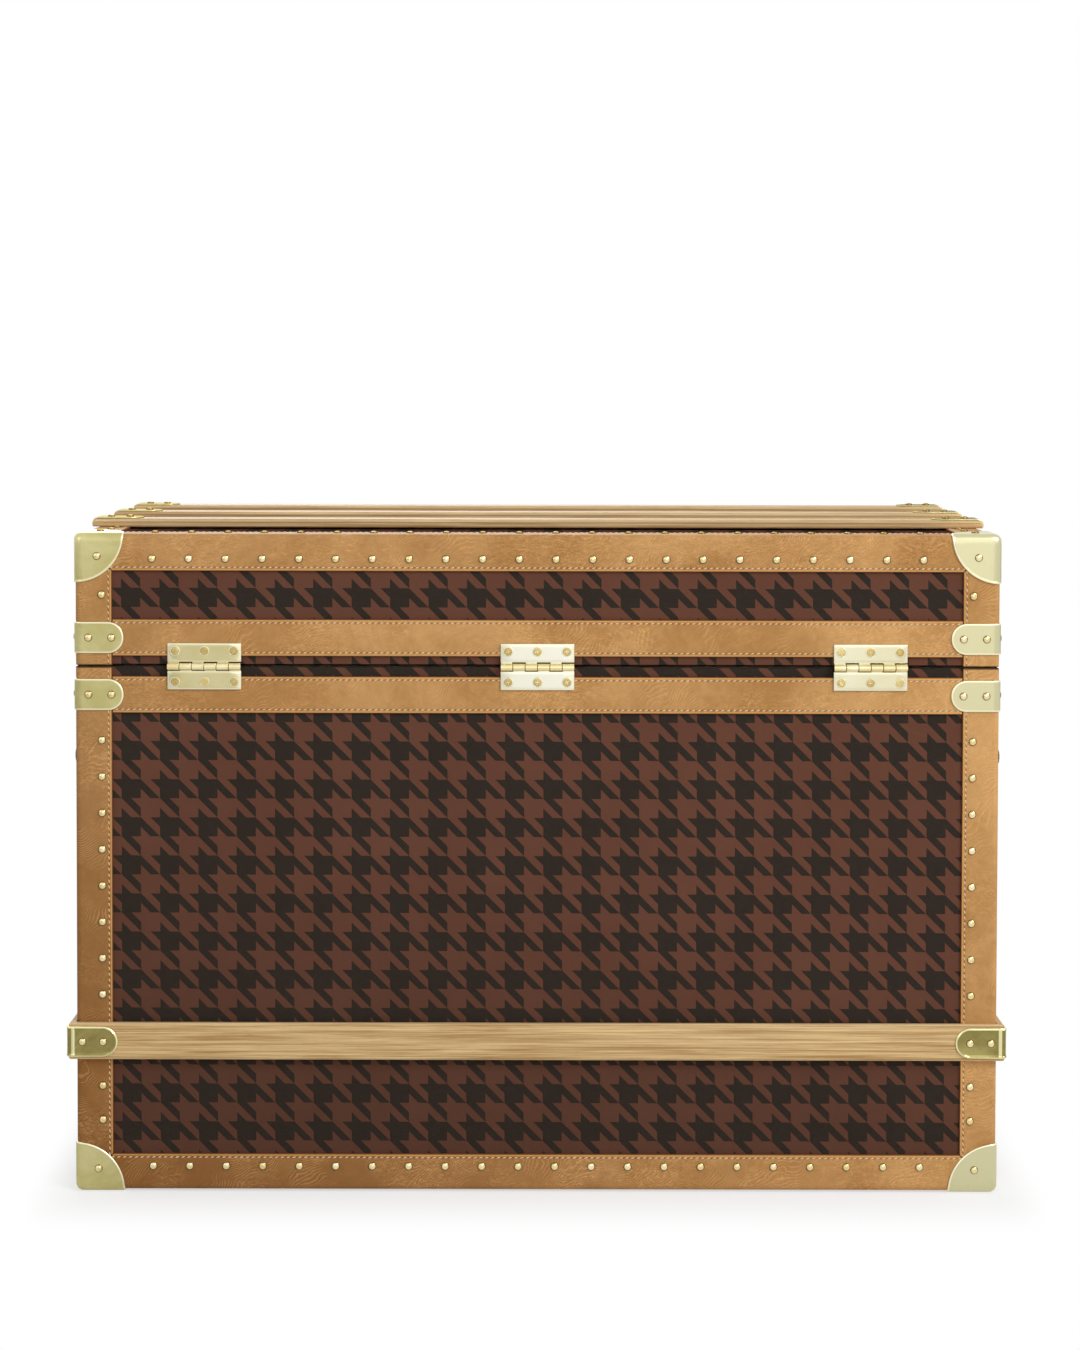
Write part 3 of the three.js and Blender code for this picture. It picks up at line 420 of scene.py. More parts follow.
def brass_finish(name, light, deep, gloss=0.26, rim=None, reach=EDGE_HIGHLIGHT_REACH, painted_light=None, grazed=WHITE):
    """Lacquered brass with faint brushing, tarnish clouds and small specks.

    With a rim colour, the piece's own map tells how far in from its edge a point is, in metres,
    and the metal has that colour within the reach. A pale rim is a painted highlight along a
    plate's edges, and a dark one is painted shade round the foot of a nail's head. A colour of
    painted light comes with a middle along the trunk and two distances from it, between which the
    metal goes from its own colour to that paler one, as if lit more strongly near the middle. The
    grazed colour tints what it mirrors at a flat angle.
    """
    finish = Finish(name, Metallic=1.0, Specular_Tint=grazed)
    place = finish.place()
    cloud = finish.noise(place, 26.0, 5.0, 0.65, 0.4)
    brushing = finish.noise(finish.stretch(place, (0.06, 1.0, 1.0)), 2400.0, 2.0)
    specks = finish.noise(place, 520.0, 2.0, 0.6).ramp(0.68, 0.76)
    colour = finish.mix(cloud.ramp(0.35, 0.7), deep, light)
    # Painted light: paler near a middle along the trunk, as if lit more strongly there
    if painted_light is not None:
        middle, unlit_from, lit_within, paler = painted_light
        x, _, _ = finish.split(place)
        colour = finish.mix(abs(x - middle).ramp(unlit_from, lit_within), colour, paler)
    colour = finish.mix(specks * 0.30, colour, linear(150, 130, 80))
    # The rim colour is a painted highlight along a plate's edges, or painted shade round a nail's foot
    if rim is not None:
        _, inset, _ = finish.split(finish.surface())
        painted_edge = 1 - inset.ramp(*reach)
        colour = finish.mix(painted_edge * 0.85, colour, rim)
    finish.shade("Base Color", colour)
    finish.shade("Roughness", gloss + cloud * 0.10 + specks * 0.12)
    finish.bump(brushing * 0.25 + finish.noise(place, 95.0, 3.0) * 0.9, 0.20, 0.10 * MM)
    return finish.material


def wood_finish():
    """Light hardwood under clear varnish: long growth bands, pores and fine streaks along the piece.

    The piece's own map runs along the slat and across it, in metres. Its second map tells how far
    in from the slat's edge a point is. Down the side that distance is below nought. An amber line
    runs just below the edge, a painted highlight lies along the top edge, and painted shade darkens
    the foot of the side.
    """
    finish = Finish("light_hardwood", Coat_Weight=0.05, Coat_Roughness=0.25, Specular_IOR_Level=0.2)
    surface = finish.surface()
    broad = finish.noise(finish.stretch(surface, (1.6, 60.0, 1.0)), 3.0, 5.0, 0.62, 1.1)
    streaks = finish.noise(finish.stretch(surface, (3.0, 330.0, 1.0)), 2.4, 4.0, 0.68, 0.3)
    pores = finish.noise(finish.stretch(surface, (90.0, 2600.0, 1.0)), 1.0, 2.0).ramp(0.60, 0.75)
    tone = broad * 0.48 + streaks * 0.60
    colour = finish.mix(tone.ramp(0.38, 0.70), linear(168, 128, 76), linear(232, 200, 146))
    colour = finish.mix(pores * 0.34, colour, linear(112, 76, 44))
    inset, _, _ = finish.split(finish.add("ShaderNodeUVMap", {"uv_map": "inset"}, {}))
    amber = linear(160, 108, 50)
    line = inset.near(-1.1 * MM, 0.4 * MM, 1.4 * MM)
    # Painted shade at the foot of the slat's side
    foot = 1 - (inset + 8.0 * MM).ramp(0.2 * MM, 2.6 * MM)
    # Painted highlight along the slat's top edge
    lip = inset.near(0.2 * MM, 0.3 * MM, 1.1 * MM)
    colour = finish.mix(line * 0.50, colour, amber)
    colour = finish.mix(foot * 0.66, colour, linear(124, 80, 36))
    colour = finish.mix(lip * 0.34, colour, linear(246, 224, 182))
    finish.shade("Base Color", colour)
    finish.shade("Roughness", 0.46 + streaks * 0.16)
    finish.bump(streaks * 0.6 - pores, 0.30, 0.12 * MM)
    return finish.material


def cloth_finish(name, light, deep):
    """Plain cotton cloth on a wall: over-and-under threads and a little slub."""
    finish = Finish(name, Roughness=0.9, Specular_IOR_Level=0.2)
    x, y, z = finish.split(finish.place())
    thread = 1.1 * MM
    waves = [(axis / thread).wave() for axis in (x, y, z)]
    weave = waves[0] * waves[1] + waves[1] * waves[2] + waves[2] * waves[0]
    cloud = finish.noise(finish.place(), 30.0, 4.0, 0.6)
    tone = (weave * 0.16 + cloud).ramp(0.12, 0.88)
    finish.shade("Base Color", finish.mix(tone, deep, light))
    finish.bump(weave, 0.35, 0.12 * MM)
    return finish.material


def plain_finish(name, colour, roughness, metallic=0.0, grain=700.0):
    """A plain finish whose tone and gloss wander a little."""
    finish = Finish(name, Metallic=metallic)
    wander = finish.noise(finish.place(), grain, 3.0, 0.6)
    finish.shade("Base Color", finish.mix(wander, toned(colour, 0.72), colour))
    finish.shade("Roughness", roughness + wander * 0.1)
    finish.bump(wander, 0.2, 0.08 * MM)
    return finish.material


FINISHES = {
    "canvas": canvas_finish(),
    "leather": leather_finish("natural_leather", linear(212, 164, 107), linear(170, 122, 69)),
    "dark_leather": leather_finish("dark_leather", linear(92, 50, 36), linear(52, 27, 20), False, 0.42),
    # Its pale rim is a painted highlight along the edges, and it grows paler towards the -X end as painted
    # light
    "brass": brass_finish(
        "pale_brass", linear(212, 203, 148), linear(195, 185, 124), 0.25, linear(246, 241, 208),
        painted_light=(-1.0, 1.25, 0.6, linear(208, 202, 161))),
    # A darker copy of the brass for the low belt clamps, painted shade; its pale rim paints highlights on
    # the beads
    "shaded_belt_brass": brass_finish(
        "shaded_belt_brass", linear(168, 157, 98), linear(138, 126, 72), 0.20, linear(244, 238, 184)),
    "fitting": brass_finish("fitting_brass", linear(226, 218, 168), linear(208, 198, 144), 0.26),
    # Hinge brass: its pale rim is a painted highlight along the edges, and it grows paler towards a middle
    # along the trunk as painted light
    "polished": brass_finish(
        "polished_brass", linear(213, 202, 154), linear(204, 193, 141), 0.24, linear(232, 228, 200),
        painted_light=(-80 * MM, 420 * MM, 50 * MM, linear(231, 229, 211))),
    "gold": brass_finish("yellow_brass", linear(222, 200, 132), linear(190, 162, 92), 0.18),
    # A paler copy of the hinge brass for the knuckles, a painted highlight
    "bright": brass_finish("knuckle_brass_painted_highlight", linear(248, 238, 196), linear(232, 214, 158), 0.12),
    # Its dark rim colour is painted shade round the foot of each nail's head
    "nail": brass_finish(
        "nail_brass", linear(246, 236, 196), linear(226, 206, 146), 0.10, linear(136, 103, 50),
        (0.35 * MM, 1.5 * MM), grazed=linear(128, 100, 52)),
    "dull": brass_finish(
        "dull_brass", linear(211, 202, 152), linear(192, 183, 128), 0.25, grazed=linear(150, 140, 110)),
    "wood": wood_finish(),
    "thread": plain_finish("waxed_thread", linear(238, 212, 168), 0.7),
    "dark_thread": plain_finish("dark_thread", linear(128, 82, 58), 0.7),
    "lining": cloth_finish("lining_cloth", linear(206, 192, 166), linear(172, 156, 130)),
    "plywood": plain_finish("plywood_edge", linear(190, 158, 112), 0.7),
    "steel": plain_finish("turned_steel", linear(176, 176, 172), 0.3, 1.0),
}


def grid_faces(rows, columns, closed=False):
    """Four-cornered faces between the points of a grid; closed joins the last column to the first."""
    row = np.arange(rows - 1)[:, None]
    column = np.arange(columns if closed else columns - 1)[None, :]
    after = (column + 1) % columns
    corners = [row * columns + column, row * columns + after]
    corners += [(row + 1) * columns + after, (row + 1) * columns + column]
    return np.stack(np.broadcast_arrays(*corners), -1).reshape(-1, 4)


class Solid:
    """Points, four-cornered faces and a map, which several can share before they make one piece."""

    def __init__(self, points, faces, chart=None):
        self.points = np.asarray(points, float).reshape(-1, 3)
        self.faces = np.asarray(faces, int).reshape(-1, 4)
        if chart is None:
            chart = np.zeros((len(self.points), 3))
        chart = np.asarray(chart, float)
        chart = chart.reshape(-1, chart.shape[-1])
        if chart.shape[1] == 2:
            chart = np.column_stack([chart, chart[:, 1]])
        self.chart = chart
        a, b, c, d = (self.points[self.faces[:, i]] for i in range(4))
        volume = (a * np.cross(b, c)).sum() + (a * np.cross(c, d)).sum()
        if volume < 0:
            self.faces = self.faces[:, ::-1]

    @classmethod
    def ready(cls, points, faces, chart):
        """A solid of arrays that are in order already, with its faces looking outward."""
        solid = cls.__new__(cls)
        solid.points, solid.faces, solid.chart = points, faces, chart
        return solid


def joined(solids):
    """Several solids as one."""
    counts = np.cumsum([0] + [len(solid.points) for solid in solids])
    faces = np.concatenate([solid.faces + start for solid, start in zip(solids, counts)])
    points = np.concatenate([solid.points for solid in solids])
    return Solid.ready(points, faces, np.concatenate([solid.chart for solid in solids]))


def shell(top, bottom, chart=None, under=None):
    """A solid between two grids of the same size: both grids, and a wall between their borders.

    The lower grid has the upper one's map unless it is given its own.
    """
    rows, columns = top.shape[:2]
    size = rows * columns
    index = np.arange(size).reshape(rows, columns)
    border = np.concatenate([index[0, :-1], index[:-1, -1], index[-1, :0:-1], index[:0:-1, 0]])
    after = np.roll(border, -1)
    upper = grid_faces(rows, columns)
    lower = grid_faces(rows, columns)[:, ::-1] + size
    wall = np.stack([after, border, border + size, after + size], -1)
    points = np.concatenate([top.reshape(-1, 3), bottom.reshape(-1, 3)])
    both = None
    if chart is not None:
        maps = (chart, chart if under is None else under)
        both = np.concatenate([each.reshape(-1, chart.shape[-1]) for each in maps])
    return Solid(points, np.concatenate([upper, lower, wall]), both)


def tube(rings, chart=None):
    """A solid skinned over rings of points, closed at both ends by rings drawn in to a point.

    Where the last ring is the first one again, the skin closes on itself and has no ends.
    """
    rings = np.asarray(rings, float)
    if np.allclose(rings[0], rings[-1]):
        return Solid(rings, grid_faces(len(rings), rings.shape[1], True), chart)
    ends = [np.broadcast_to(rings[i].mean(0), rings[i].shape) for i in (0, -1)]
    full = np.concatenate([ends[:1], rings, ends[1:]])
    faces = grid_faces(len(full), rings.shape[1], True)
    if chart is not None:
        chart = np.concatenate([chart[:1], chart, chart[-1:]])
    return Solid(full, faces, chart)


def make_piece(name, solid, finish, body, replaced=(), smooth=35.0):
    """Puts a solid into the scene as a piece on a body, in place of the named frame nodes."""
    mesh = bpy.data.meshes.new(name)
    points, remap = np.unique(np.round(solid.points, 7), axis=0, return_inverse=True)
    faces = remap.reshape(-1)[solid.faces]
    corner_maps = solid.chart[solid.faces]
    corners, maps = [], []
    for face, chart in zip(faces.tolist(), corner_maps.tolist()):
        kept = [i for i in range(4) if face[i] != face[i - 1]]
        if len(kept) > 2:
            corners.append([face[i] for i in kept])
            maps.extend(chart[i] for i in kept)
    mesh.from_pydata(points.tolist(), [], corners)
    maps = np.array(maps, np.float32)
    mesh.uv_layers.new(name="chart").data.foreach_set("uv", maps[:, :2].ravel())
    mesh.uv_layers.new(name="inset").data.foreach_set("uv", maps[:, [2, 2]].ravel())
    mesh.materials.append(FINISHES[finish])
    mesh.shade_smooth()
    mesh.set_sharp_from_angle(angle=math.radians(smooth))
    piece = bpy.data.objects.new(name, mesh)
    bpy.context.scene.collection.objects.link(piece)
    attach(piece, body)
    if replaced:
        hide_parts(*replaced)
    return piece


def unit(vectors):
    """Vectors of length one, in the same directions."""
    return vectors / np.linalg.norm(vectors, axis=-1, keepdims=True)


def running_length(points):
    """How far along a line each of its points is."""
    return np.concatenate([[0], np.cumsum(np.linalg.norm(np.diff(points, axis=0), axis=1))])


def values_at(places, run, values):
    """Rows of values between those that are known at a running length."""
    return np.stack([np.interp(places, run, column) for column in values.T], -1)


def lip_places(edge, count=4):
    """Places across a rounded edge, from 0 to its radius, crowded at 0 where it is steep."""
    return edge * (1 - np.cos(np.linspace(0, math.pi / 2, count)))


def rounded_height(distance, thickness, edge):
    """Height of a plate whose rim is rounded: a quarter circle of radius edge from its border in."""
    near = np.clip(1 - distance / edge, 0, 1)
    return thickness - edge * (1 - np.sqrt(1 - near ** 2))


def spaced(length, edge, middle):
    """Places from 0 to length, crowded within the rounded edge at both ends."""
    lip = lip_places(edge)
    inner = np.linspace(edge, length - edge, middle + 2)[1:-1]
    return np.concatenate([lip, inner, (length - lip)[::-1]])


def fold(across, lift, radius):
    """Wraps a distance across a right-angled edge round that edge.

    Negative distances lie on the first face and positive ones on the second. A point on the sharp
    edge's section moves to its nearest core point, radius inside both faces, plus radius and lift
    along the direction from the core.
    """
    sharp = np.stack([np.minimum(across, 0), np.minimum(-across, 0)], -1)
    core = np.minimum(sharp, -radius)
    return core + unit(sharp - core) * (radius + lift)[..., None]


def folded_spacing(first, second, radius, edge):
    """Places across a folded strip, from -first to second, crowded at the lips and round the fold."""
    lip = lip_places(edge)
    turn = radius * np.linspace(-1, 1, 9)
    left = np.linspace(-first + edge, -radius, 4)[1:-1]
    right = np.linspace(radius, second - edge, 4)[1:-1]
    return np.concatenate([-first + lip, left, turn, right, (second - lip)[::-1]])


def upright_place(sign_x, sign_y):
    """Places a fold round an upright edge: the first face looks along Y and the second along X."""
    def place(section, along):
        x = sign_x * (HALF[0] + section[..., 0])
        y = sign_y * (HALF[1] + section[..., 1])
        return np.stack([x, y, along], -1)
    return place


def level_place(axis, sign, flat, up):
    """Places a fold round a level edge: the first face is the flat one and the second a side."""
    def place(section, along):
        out = sign * (HALF[1 - axis] + section[..., 0])
        height = flat + up * section[..., 1]
        pair = [along, out] if axis == 0 else [out, along]
        return np.stack([*pair, height], -1)
    return place


def folded_band(place, start, end, guard_start, guard_end):
    """A leather band folded round an edge from start to end, with mitred ends where a guard is set.

    A mitred end draws back as far as the band is from the fold, but never less than the guard.
    """
    across = folded_spacing(BAND_WIDTH, BAND_WIDTH, EDGE_RADIUS, BAND_EDGE)
    share = spaced(1.0, 0.002, 12)
    back = np.abs(across)
    first = start + (np.maximum(back, guard_start) + BAND_GAP if guard_start else 0 * back)
    last = end - (np.maximum(back, guard_end) + BAND_GAP if guard_end else 0 * back)
    along = first[:, None] + (last - first)[:, None] * share[None, :]
    span = np.broadcast_to(across[:, None], along.shape)
    inset = BAND_WIDTH - np.abs(span)
    to_end = np.minimum(along - first[:, None], last[:, None] - along)
    lift = rounded_height(np.minimum(inset, to_end), LEATHER, BAND_EDGE) - LEATHER
    top = place(fold(span, lift, EDGE_RADIUS), along)
    bottom = place(fold(span, np.full(along.shape, -LEATHER), EDGE_RADIUS), along)
    return shell(top, bottom, np.stack([along, inset], -1))


def flat_band(place, start, end, low, high):
    """A flat leather band from start to end along a wall, between two heights."""
    across = spaced(high - low, BAND_EDGE, 4)
    along = start + spaced(end - start, BAND_EDGE, 12)
    span, run = np.meshgrid(across, along, indexing="ij")
    inset = np.minimum(span, high - low - span)
    to_end = np.minimum(run - start, end - run)
    lift = rounded_height(np.minimum(inset, to_end), LEATHER, BAND_EDGE) - LEATHER
    top = place(run, span + low, lift)
    bottom = place(run, span + low, np.full(run.shape, -LEATHER))
    return shell(top, bottom, np.stack([run, inset], -1))


def wall_outward(axis, sign):
    """The direction in which a side wall looks."""
    return (0, sign, 0) if axis == 0 else (sign, 0, 0)


def wall_place(axis, sign):
    """Places a drawing on a side wall: along the wall, its height, and how far it stands out."""
    def place(along, height, lift):
        out = sign * (HALF[1 - axis] + lift)
        pair = [along, out] if axis == 0 else [out, along]
        return np.stack([*pair, height], -1)
    return place


def rim_band_heights(half):
    """The two heights between which a rim band runs, the lower first."""
    towards = HALVES[half]["up"]
    near = HALVES[half]["rim"] + towards * RIM_STRIP
    return sorted((near, near + towards * BAND_WIDTH))


def leather_bands(half):
    """All the leather on one half: uprights, bands round the flat side, and rim bands."""
    flat, rim, up = (HALVES[half][key] for key in ("flat", "rim", "up"))
    solids = []
    for sign_x, sign_y in SIGNS:
        place = upright_place(sign_x, sign_y)
        guards = (CORNER_GUARD, 0) if up < 0 else (0, CORNER_GUARD)
        solids.append(folded_band(place, min(flat, rim), max(flat, rim), *guards))
    for axis in (0, 1):
        for sign in (1, -1):
            place = level_place(axis, sign, flat, up)
            reach = HALF[axis]
            solids.append(folded_band(place, -reach, reach, CORNER_GUARD, CORNER_GUARD))
            inner = reach - BAND_WIDTH - BAND_GAP
            solids.append(flat_band(wall_place(axis, sign), -inner, inner, *rim_band_heights(half)))
    make_piece(f"leather_bands_{half}", joined(solids), "leather", half,
               [f"{half}_leather_binding"])


def scattered(template, centres, along, outward):
    """Copies of a small solid, one at each centre, with its x along and its z outward."""
    points, faces, chart = template
    along = np.broadcast_to(along, centres.shape)
    outward = np.broadcast_to(outward, centres.shape)
    side = np.cross(outward, along)
    frames = np.stack([along, side, outward], 1)
    placed = np.einsum("pk,nkj->npj", points, frames) + centres[:, None, :]
    starts = np.arange(len(centres))[:, None, None] * len(points)
    faces = (faces[None] + starts).reshape(-1, 4)
    return Solid.ready(placed.reshape(-1, 3), faces, np.tile(chart, (len(centres), 1)))


def template_of(solid):
    """A small solid's points, faces and map, to be copied to many places."""
    return solid.points, solid.faces, solid.chart


def lathe(profile, sides=24):
    """A solid turned about the upright axis from pairs of radius and height."""
    turn = np.linspace(0, math.tau, sides, endpoint=False)
    circle = np.stack([np.cos(turn), np.sin(turn), 0 * turn], -1)
    return tube([circle * radius + [0, 0, height] for radius, height in profile])


def dome(radius, height, sides=16, rings=5):
    """A nail's head: a ball's cap, drawn in slightly at its foot, on a flat underside.

    Its map tells how far in from its rim a point is.
    """
    rise = np.linspace(0, math.pi / 2, rings + 1)[:-1]
    levels = [(radius * 0.9, 0.0)]
    levels += [(radius * math.cos(a), height * (0.12 + 0.88 * math.sin(a))) for a in rise]
    head = lathe([*levels, (radius * 0.04, height)], sides)
    head.chart[:, 1:] = (radius - np.hypot(head.points[:, 0], head.points[:, 1]))[:, None]
    return template_of(head)


def screw_head(radius, height):
    """A low countersunk screw head whose middle is cut by a cross."""
    turn = np.linspace(0, math.tau, 48, endpoint=False)
    radial = radius * np.concatenate([[1.0, 1.0, 0.97], np.linspace(0.9, 0.02, 12)])[:, None]
    x, y = radial * np.cos(turn), radial * np.sin(turn)
    half, reach, soft = 0.13 * radius, 0.62 * radius, 0.10 * radius

    def bar(a, b):
        return np.clip((half - abs(a)) / soft, 0, 1) * np.clip((reach - abs(b)) / soft, 0, 1)

    lift = height * np.sqrt(np.clip(1.02 - (radial / radius) ** 2 * 0.55, 0, 1))
    z = lift - 2.4 * height * np.maximum(bar(x, y), bar(y, x))
    z[0] = -height
    return template_of(tube(np.stack([x, y, z], -1)))


def stood(solid, origin, outward):
    """A solid drawn flat, stood on a wall: its x runs along the wall, its y up and its z outward."""
    outward = np.array(outward, float)
    frame_axes = np.stack([np.cross((0, 0, 1), outward), (0, 0, 1), outward])
    return Solid(solid.points @ frame_axes + np.array(origin, float), solid.faces, solid.chart)


def moved(solid, offset):
    """A solid moved by an offset."""
    return Solid(solid.points + np.array(offset, float), solid.faces, solid.chart)


def slab(width, height, thickness, edge, corner=0.0):
    """A flat plate about its middle, with round corners and a rounded rim.

    Each corner square is pressed into a quarter disc: a point keeps its greater distance from the
    disc's middle as its radius.
    """
    halves = (width / 2, height / 2)
    lines = []
    for half in halves:
        bend = np.linspace(edge, corner, 5)[1:] if corner > edge else []
        near = np.concatenate([lip_places(edge), bend])
        middle = np.linspace(near[-1], 2 * half - near[-1], 7)[1:-1]
        lines.append(np.concatenate([near, middle, (2 * half - near)[::-1]]) - half)
    u, v = np.meshgrid(*lines, indexing="ij")
    distance = np.minimum(halves[0] - abs(u), halves[1] - abs(v))
    a, b = (np.maximum(abs(w) - (half - corner), 0) for w, half in zip((u, v), halves))
    press = np.where((a > 0) & (b > 0), np.maximum(a, b) / np.maximum(np.hypot(a, b), 1e-9), 1)
    x = np.sign(u) * (np.minimum(abs(u), halves[0] - corner) + a * press)
    y = np.sign(v) * (np.minimum(abs(v), halves[1] - corner) + b * press)
    z = rounded_height(distance, thickness, edge)
    inset = np.stack([x, distance], -1)
    return shell(np.stack([x, y, z], -1), np.stack([x, y, 0 * z], -1), inset)


def barrel(radius, start, end, lip=0.3 * MM, sides=28):
    """A round bar along x between two places, its rims rounded."""
    profile = [(radius - lip, start), (radius, start + lip), (radius, end - lip), (radius - lip, end)]
    solid = lathe(profile, sides)
    return Solid(solid.points[:, [2, 0, 1]], solid.faces, solid.chart)


def hinge_leaf(width, reach, thickness, radius, corner, side, shares, parity, notch):
    """One leaf of a hinge on its side of the axis: its plate with the tabs to its knuckles, and those.

    The plate stops short of the axis by the radius and a notch, and a tab reaches over at each of
    the leaf's own knuckles, so that the other leaf's stand in the notches.
    """
    gap = radius + notch
    height = reach - gap
    tab_play, tab_hold, tab_drop, tab_edge, tab_shift = (value * MM for value in (0.5, 1.6, 0.05, 0.1, 1.0))
    plates = [moved(slab(width, height, thickness, PLATE_EDGE, corner), (0, side * (gap + height / 2), 0))]
    knuckles = []
    edges = np.cumsum([0, *shares]) / sum(shares) * width - width / 2
    for i, (start, end) in enumerate(zip(edges, edges[1:])):
        if i % 2 == parity:
            start, end = start + KNUCKLE_PLAY, end - KNUCKLE_PLAY
            knuckles.append(moved(barrel(radius, start, end), (0, 0, radius)))
            tab = slab(end - start - tab_play, gap + tab_hold, thickness - tab_drop, tab_edge)
            tab.chart = np.ones_like(tab.chart)
            plates.append(moved(tab, ((start + end) / 2, side * (gap + tab_shift) / 2, 0)))
    return joined(plates), joined(knuckles)


SCREW = screw_head(3.7 * MM, 0.40 * MM)
SMALL_SCREW = screw_head(2.5 * MM, 0.30 * MM)
RIVET = dome(2.3 * MM, 1.3 * MM)
WASHER = template_of(lathe([
    (3.7 * MM, -0.1 * MM), (5.1 * MM, -0.1 * MM), (4.7 * MM, 0.35 * MM),
    (4.1 * MM, 0.40 * MM), (3.7 * MM, 0.0), (3.7 * MM, -0.1 * MM),
], 32))


def set_in(template, centres, outward, seed=0):
    """Copies of a fastener on one face, each turned its own way."""
    centres = np.array(centres, float).reshape(-1, 3)
    outward = np.array(outward, float)
    first = np.roll(outward, 1)
    second = np.cross(outward, first)
    angles = np.random.default_rng(seed).uniform(0, math.tau, len(centres))[:, None]
    along = first * np.cos(angles) + second * np.sin(angles)
    return scattered(template, centres, along, outward)


def back_hinges():
    """Three butt hinges, with six knuckles and six cross-headed screws each."""
    screws = {}
    for seed, name in enumerate(("left", "middle", "right")):
        for half, side, parity in (("lid", 1, 0), ("body", -1, 1)):
            node = f"hinge_{half}_leaf_{name}"
            low, high = np.array(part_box(node))
            middle = (low[0] + high[0]) / 2
            axis = low[2] + HINGE_RADIUS if half == "lid" else high[2] - HINGE_RADIUS
            reach = high[2] - axis if half == "lid" else axis - low[2]
            plate, knuckles = hinge_leaf(
                high[0] - low[0], reach, PLATE, HINGE_RADIUS, PLATE_EDGE, side,
                [1] * HINGE_KNUCKLES, parity, HINGE_NOTCH)
            wall = HALF[1] + SEAT
            height = axis + side * HINGE_SCREW_FROM_AXIS
            places = [(middle + step * HINGE_SCREW_STEP, wall + PLATE, height) for step in (-1, 0, 1)]
            stand = ((middle, wall, axis), (0, 1, 0))
            plates = [stood(plate, *stand), set_in(WASHER, places, (0, 1, 0))]
            make_piece(f"{node}_plate", joined(plates), "polished", half, [node])
            make_piece(f"{node}_knuckles", stood(knuckles, *stand), "bright", half, [node])
            screws.setdefault(half, []).append(set_in(SCREW, places, (0, 1, 0), seed * 2 + parity))
    for half, solids in screws.items():
        make_piece(f"hinge_screws_{half}", joined(solids), "gold", half)


def front_leaves():
    """The upper leaves of the lock and the clasps, with their screws."""
    wall = -(HALF[1] + SEAT)
    for name in ("lock_lid_plate", "clasp_lid_plate_left", "clasp_lid_plate_right"):
        low, high = np.array(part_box(name))
        width, axis = high[0] - low[0], low[2] + LEAF_RADIUS
        middle = (low[0] + high[0]) / 2
        reach = high[2] - axis
        plate, knuckles = hinge_leaf(
            width, reach, PLATE, LEAF_RADIUS, LEAF_CORNER, 1, LEAF_KNUCKLES, 0, LEAF_NOTCH)
        spread = width / 2 - LEAF_SCREW_INSET
        if width < WIDE_LEAF:
            heights = (high[2] - LEAF_SCREW_INSET,)
        else:
            heights = (high[2] - WIDE_LEAF_SCREWS[0], axis + WIDE_LEAF_SCREWS[1])
        places = [(middle + sign * spread, wall - PLATE, z) for sign in (-1, 1) for z in heights]
        stand = ((middle, wall, axis), (0, -1, 0))
        make_piece(f"{name}_leaf", stood(plate, *stand), "polished", "lid", [name])
        small = [stood(knuckles, *stand), set_in(SMALL_SCREW, places, (0, -1, 0), len(name))]
        make_piece(f"{name}_knuckles", joined(small), "gold", "lid", [name])


def front_plates():
    """Rivets on the lock's case, screws on the clasps' lower plates, and a ring round the lock."""
    wall = -(HALF[1] + SEAT)
    face = wall - PLATE
    parts = []
    for name in ("lock_case", "clasp_plate_left", "clasp_plate_right"):
        low, high = np.array(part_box(name))
        middle, centre = (low + high) / 2, (low[2] + high[2]) / 2
        inset = 5.0 * MM if name == "lock_case" else 6.5 * MM
        across, up = (high[0] - low[0]) / 2 - inset, (high[2] - low[2]) / 2 - inset
        places = [(middle[0] + a * across, face, centre + b * up) for a in (-1, 1) for b in (-1, 1)]
        template = RIVET if name == "lock_case" else SMALL_SCREW
        parts.append(set_in(template, places, (0, -1, 0), len(name) + 5))
    low, high = np.array(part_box("lock_cylinder"))
    radius = (high[0] - low[0]) / 2
    section = np.array([(0.6, -0.6), (3.4, -0.6), (3.2, 0.4), (2.0, 1.0), (0.9, 0.8), (0.6, -0.6)]) * MM
    ring = lathe([(radius + out, height) for out, height in section], 40)
    centre = (low + high) / 2
    behind_key = 0.8 * MM
    parts.append(stood(ring, (centre[0], low[1] + behind_key, centre[2]), (0, -1, 0)))
    make_piece("front_fasteners", joined(parts), "gold", "body")


def stitch(length, width, height):
    """One stitch: a slim bead of four sides with pointed ends, sunk a little at both."""
    turn = np.linspace(0, math.tau, 4, endpoint=False)
    rings = []
    for place, size in ((-0.5, 0.35), (-0.2, 1.0), (0.2, 1.0), (0.5, 0.35)):
        ring = np.stack([
            np.full(4, place * length),
            width / 2 * size * np.cos(turn),
            height * size * np.sin(turn),
        ], -1)
        rings.append(ring)
    return template_of(tube(rings))


STITCH = stitch(3.5 * MM, 1.15 * MM, 0.5 * MM)
NAIL = dome(NAIL_RADIUS, NAIL_HEIGHT)


def edge_faces(sign_x, sign_y, inset, out=0.0):
    """Both faces beside an upright edge: a place on each at an inset from it, and where it looks."""
    yield (sign_x * (HALF[0] - inset), sign_y * (HALF[1] + out)), (0, sign_y, 0)
    yield (sign_x * (HALF[0] + out), sign_y * (HALF[1] - inset)), (sign_x, 0, 0)


def seam(start, end, outward):
    """A row of stitches from start to end, each leaning a little off the line."""
    start, end = np.array(start, float), np.array(end, float)
    length = np.linalg.norm(end - start)
    count = max(int(length / STITCH_PITCH), 1)
    share = (np.arange(count) + 0.5) / count
    centres = start + (end - start) * share[:, None]
    direction = (end - start) / length
    outward = np.array(outward, float)
    lean = 0.30
    along = direction + lean * np.cross(outward, direction)
    return scattered(STITCH, centres, along / np.linalg.norm(along), outward)


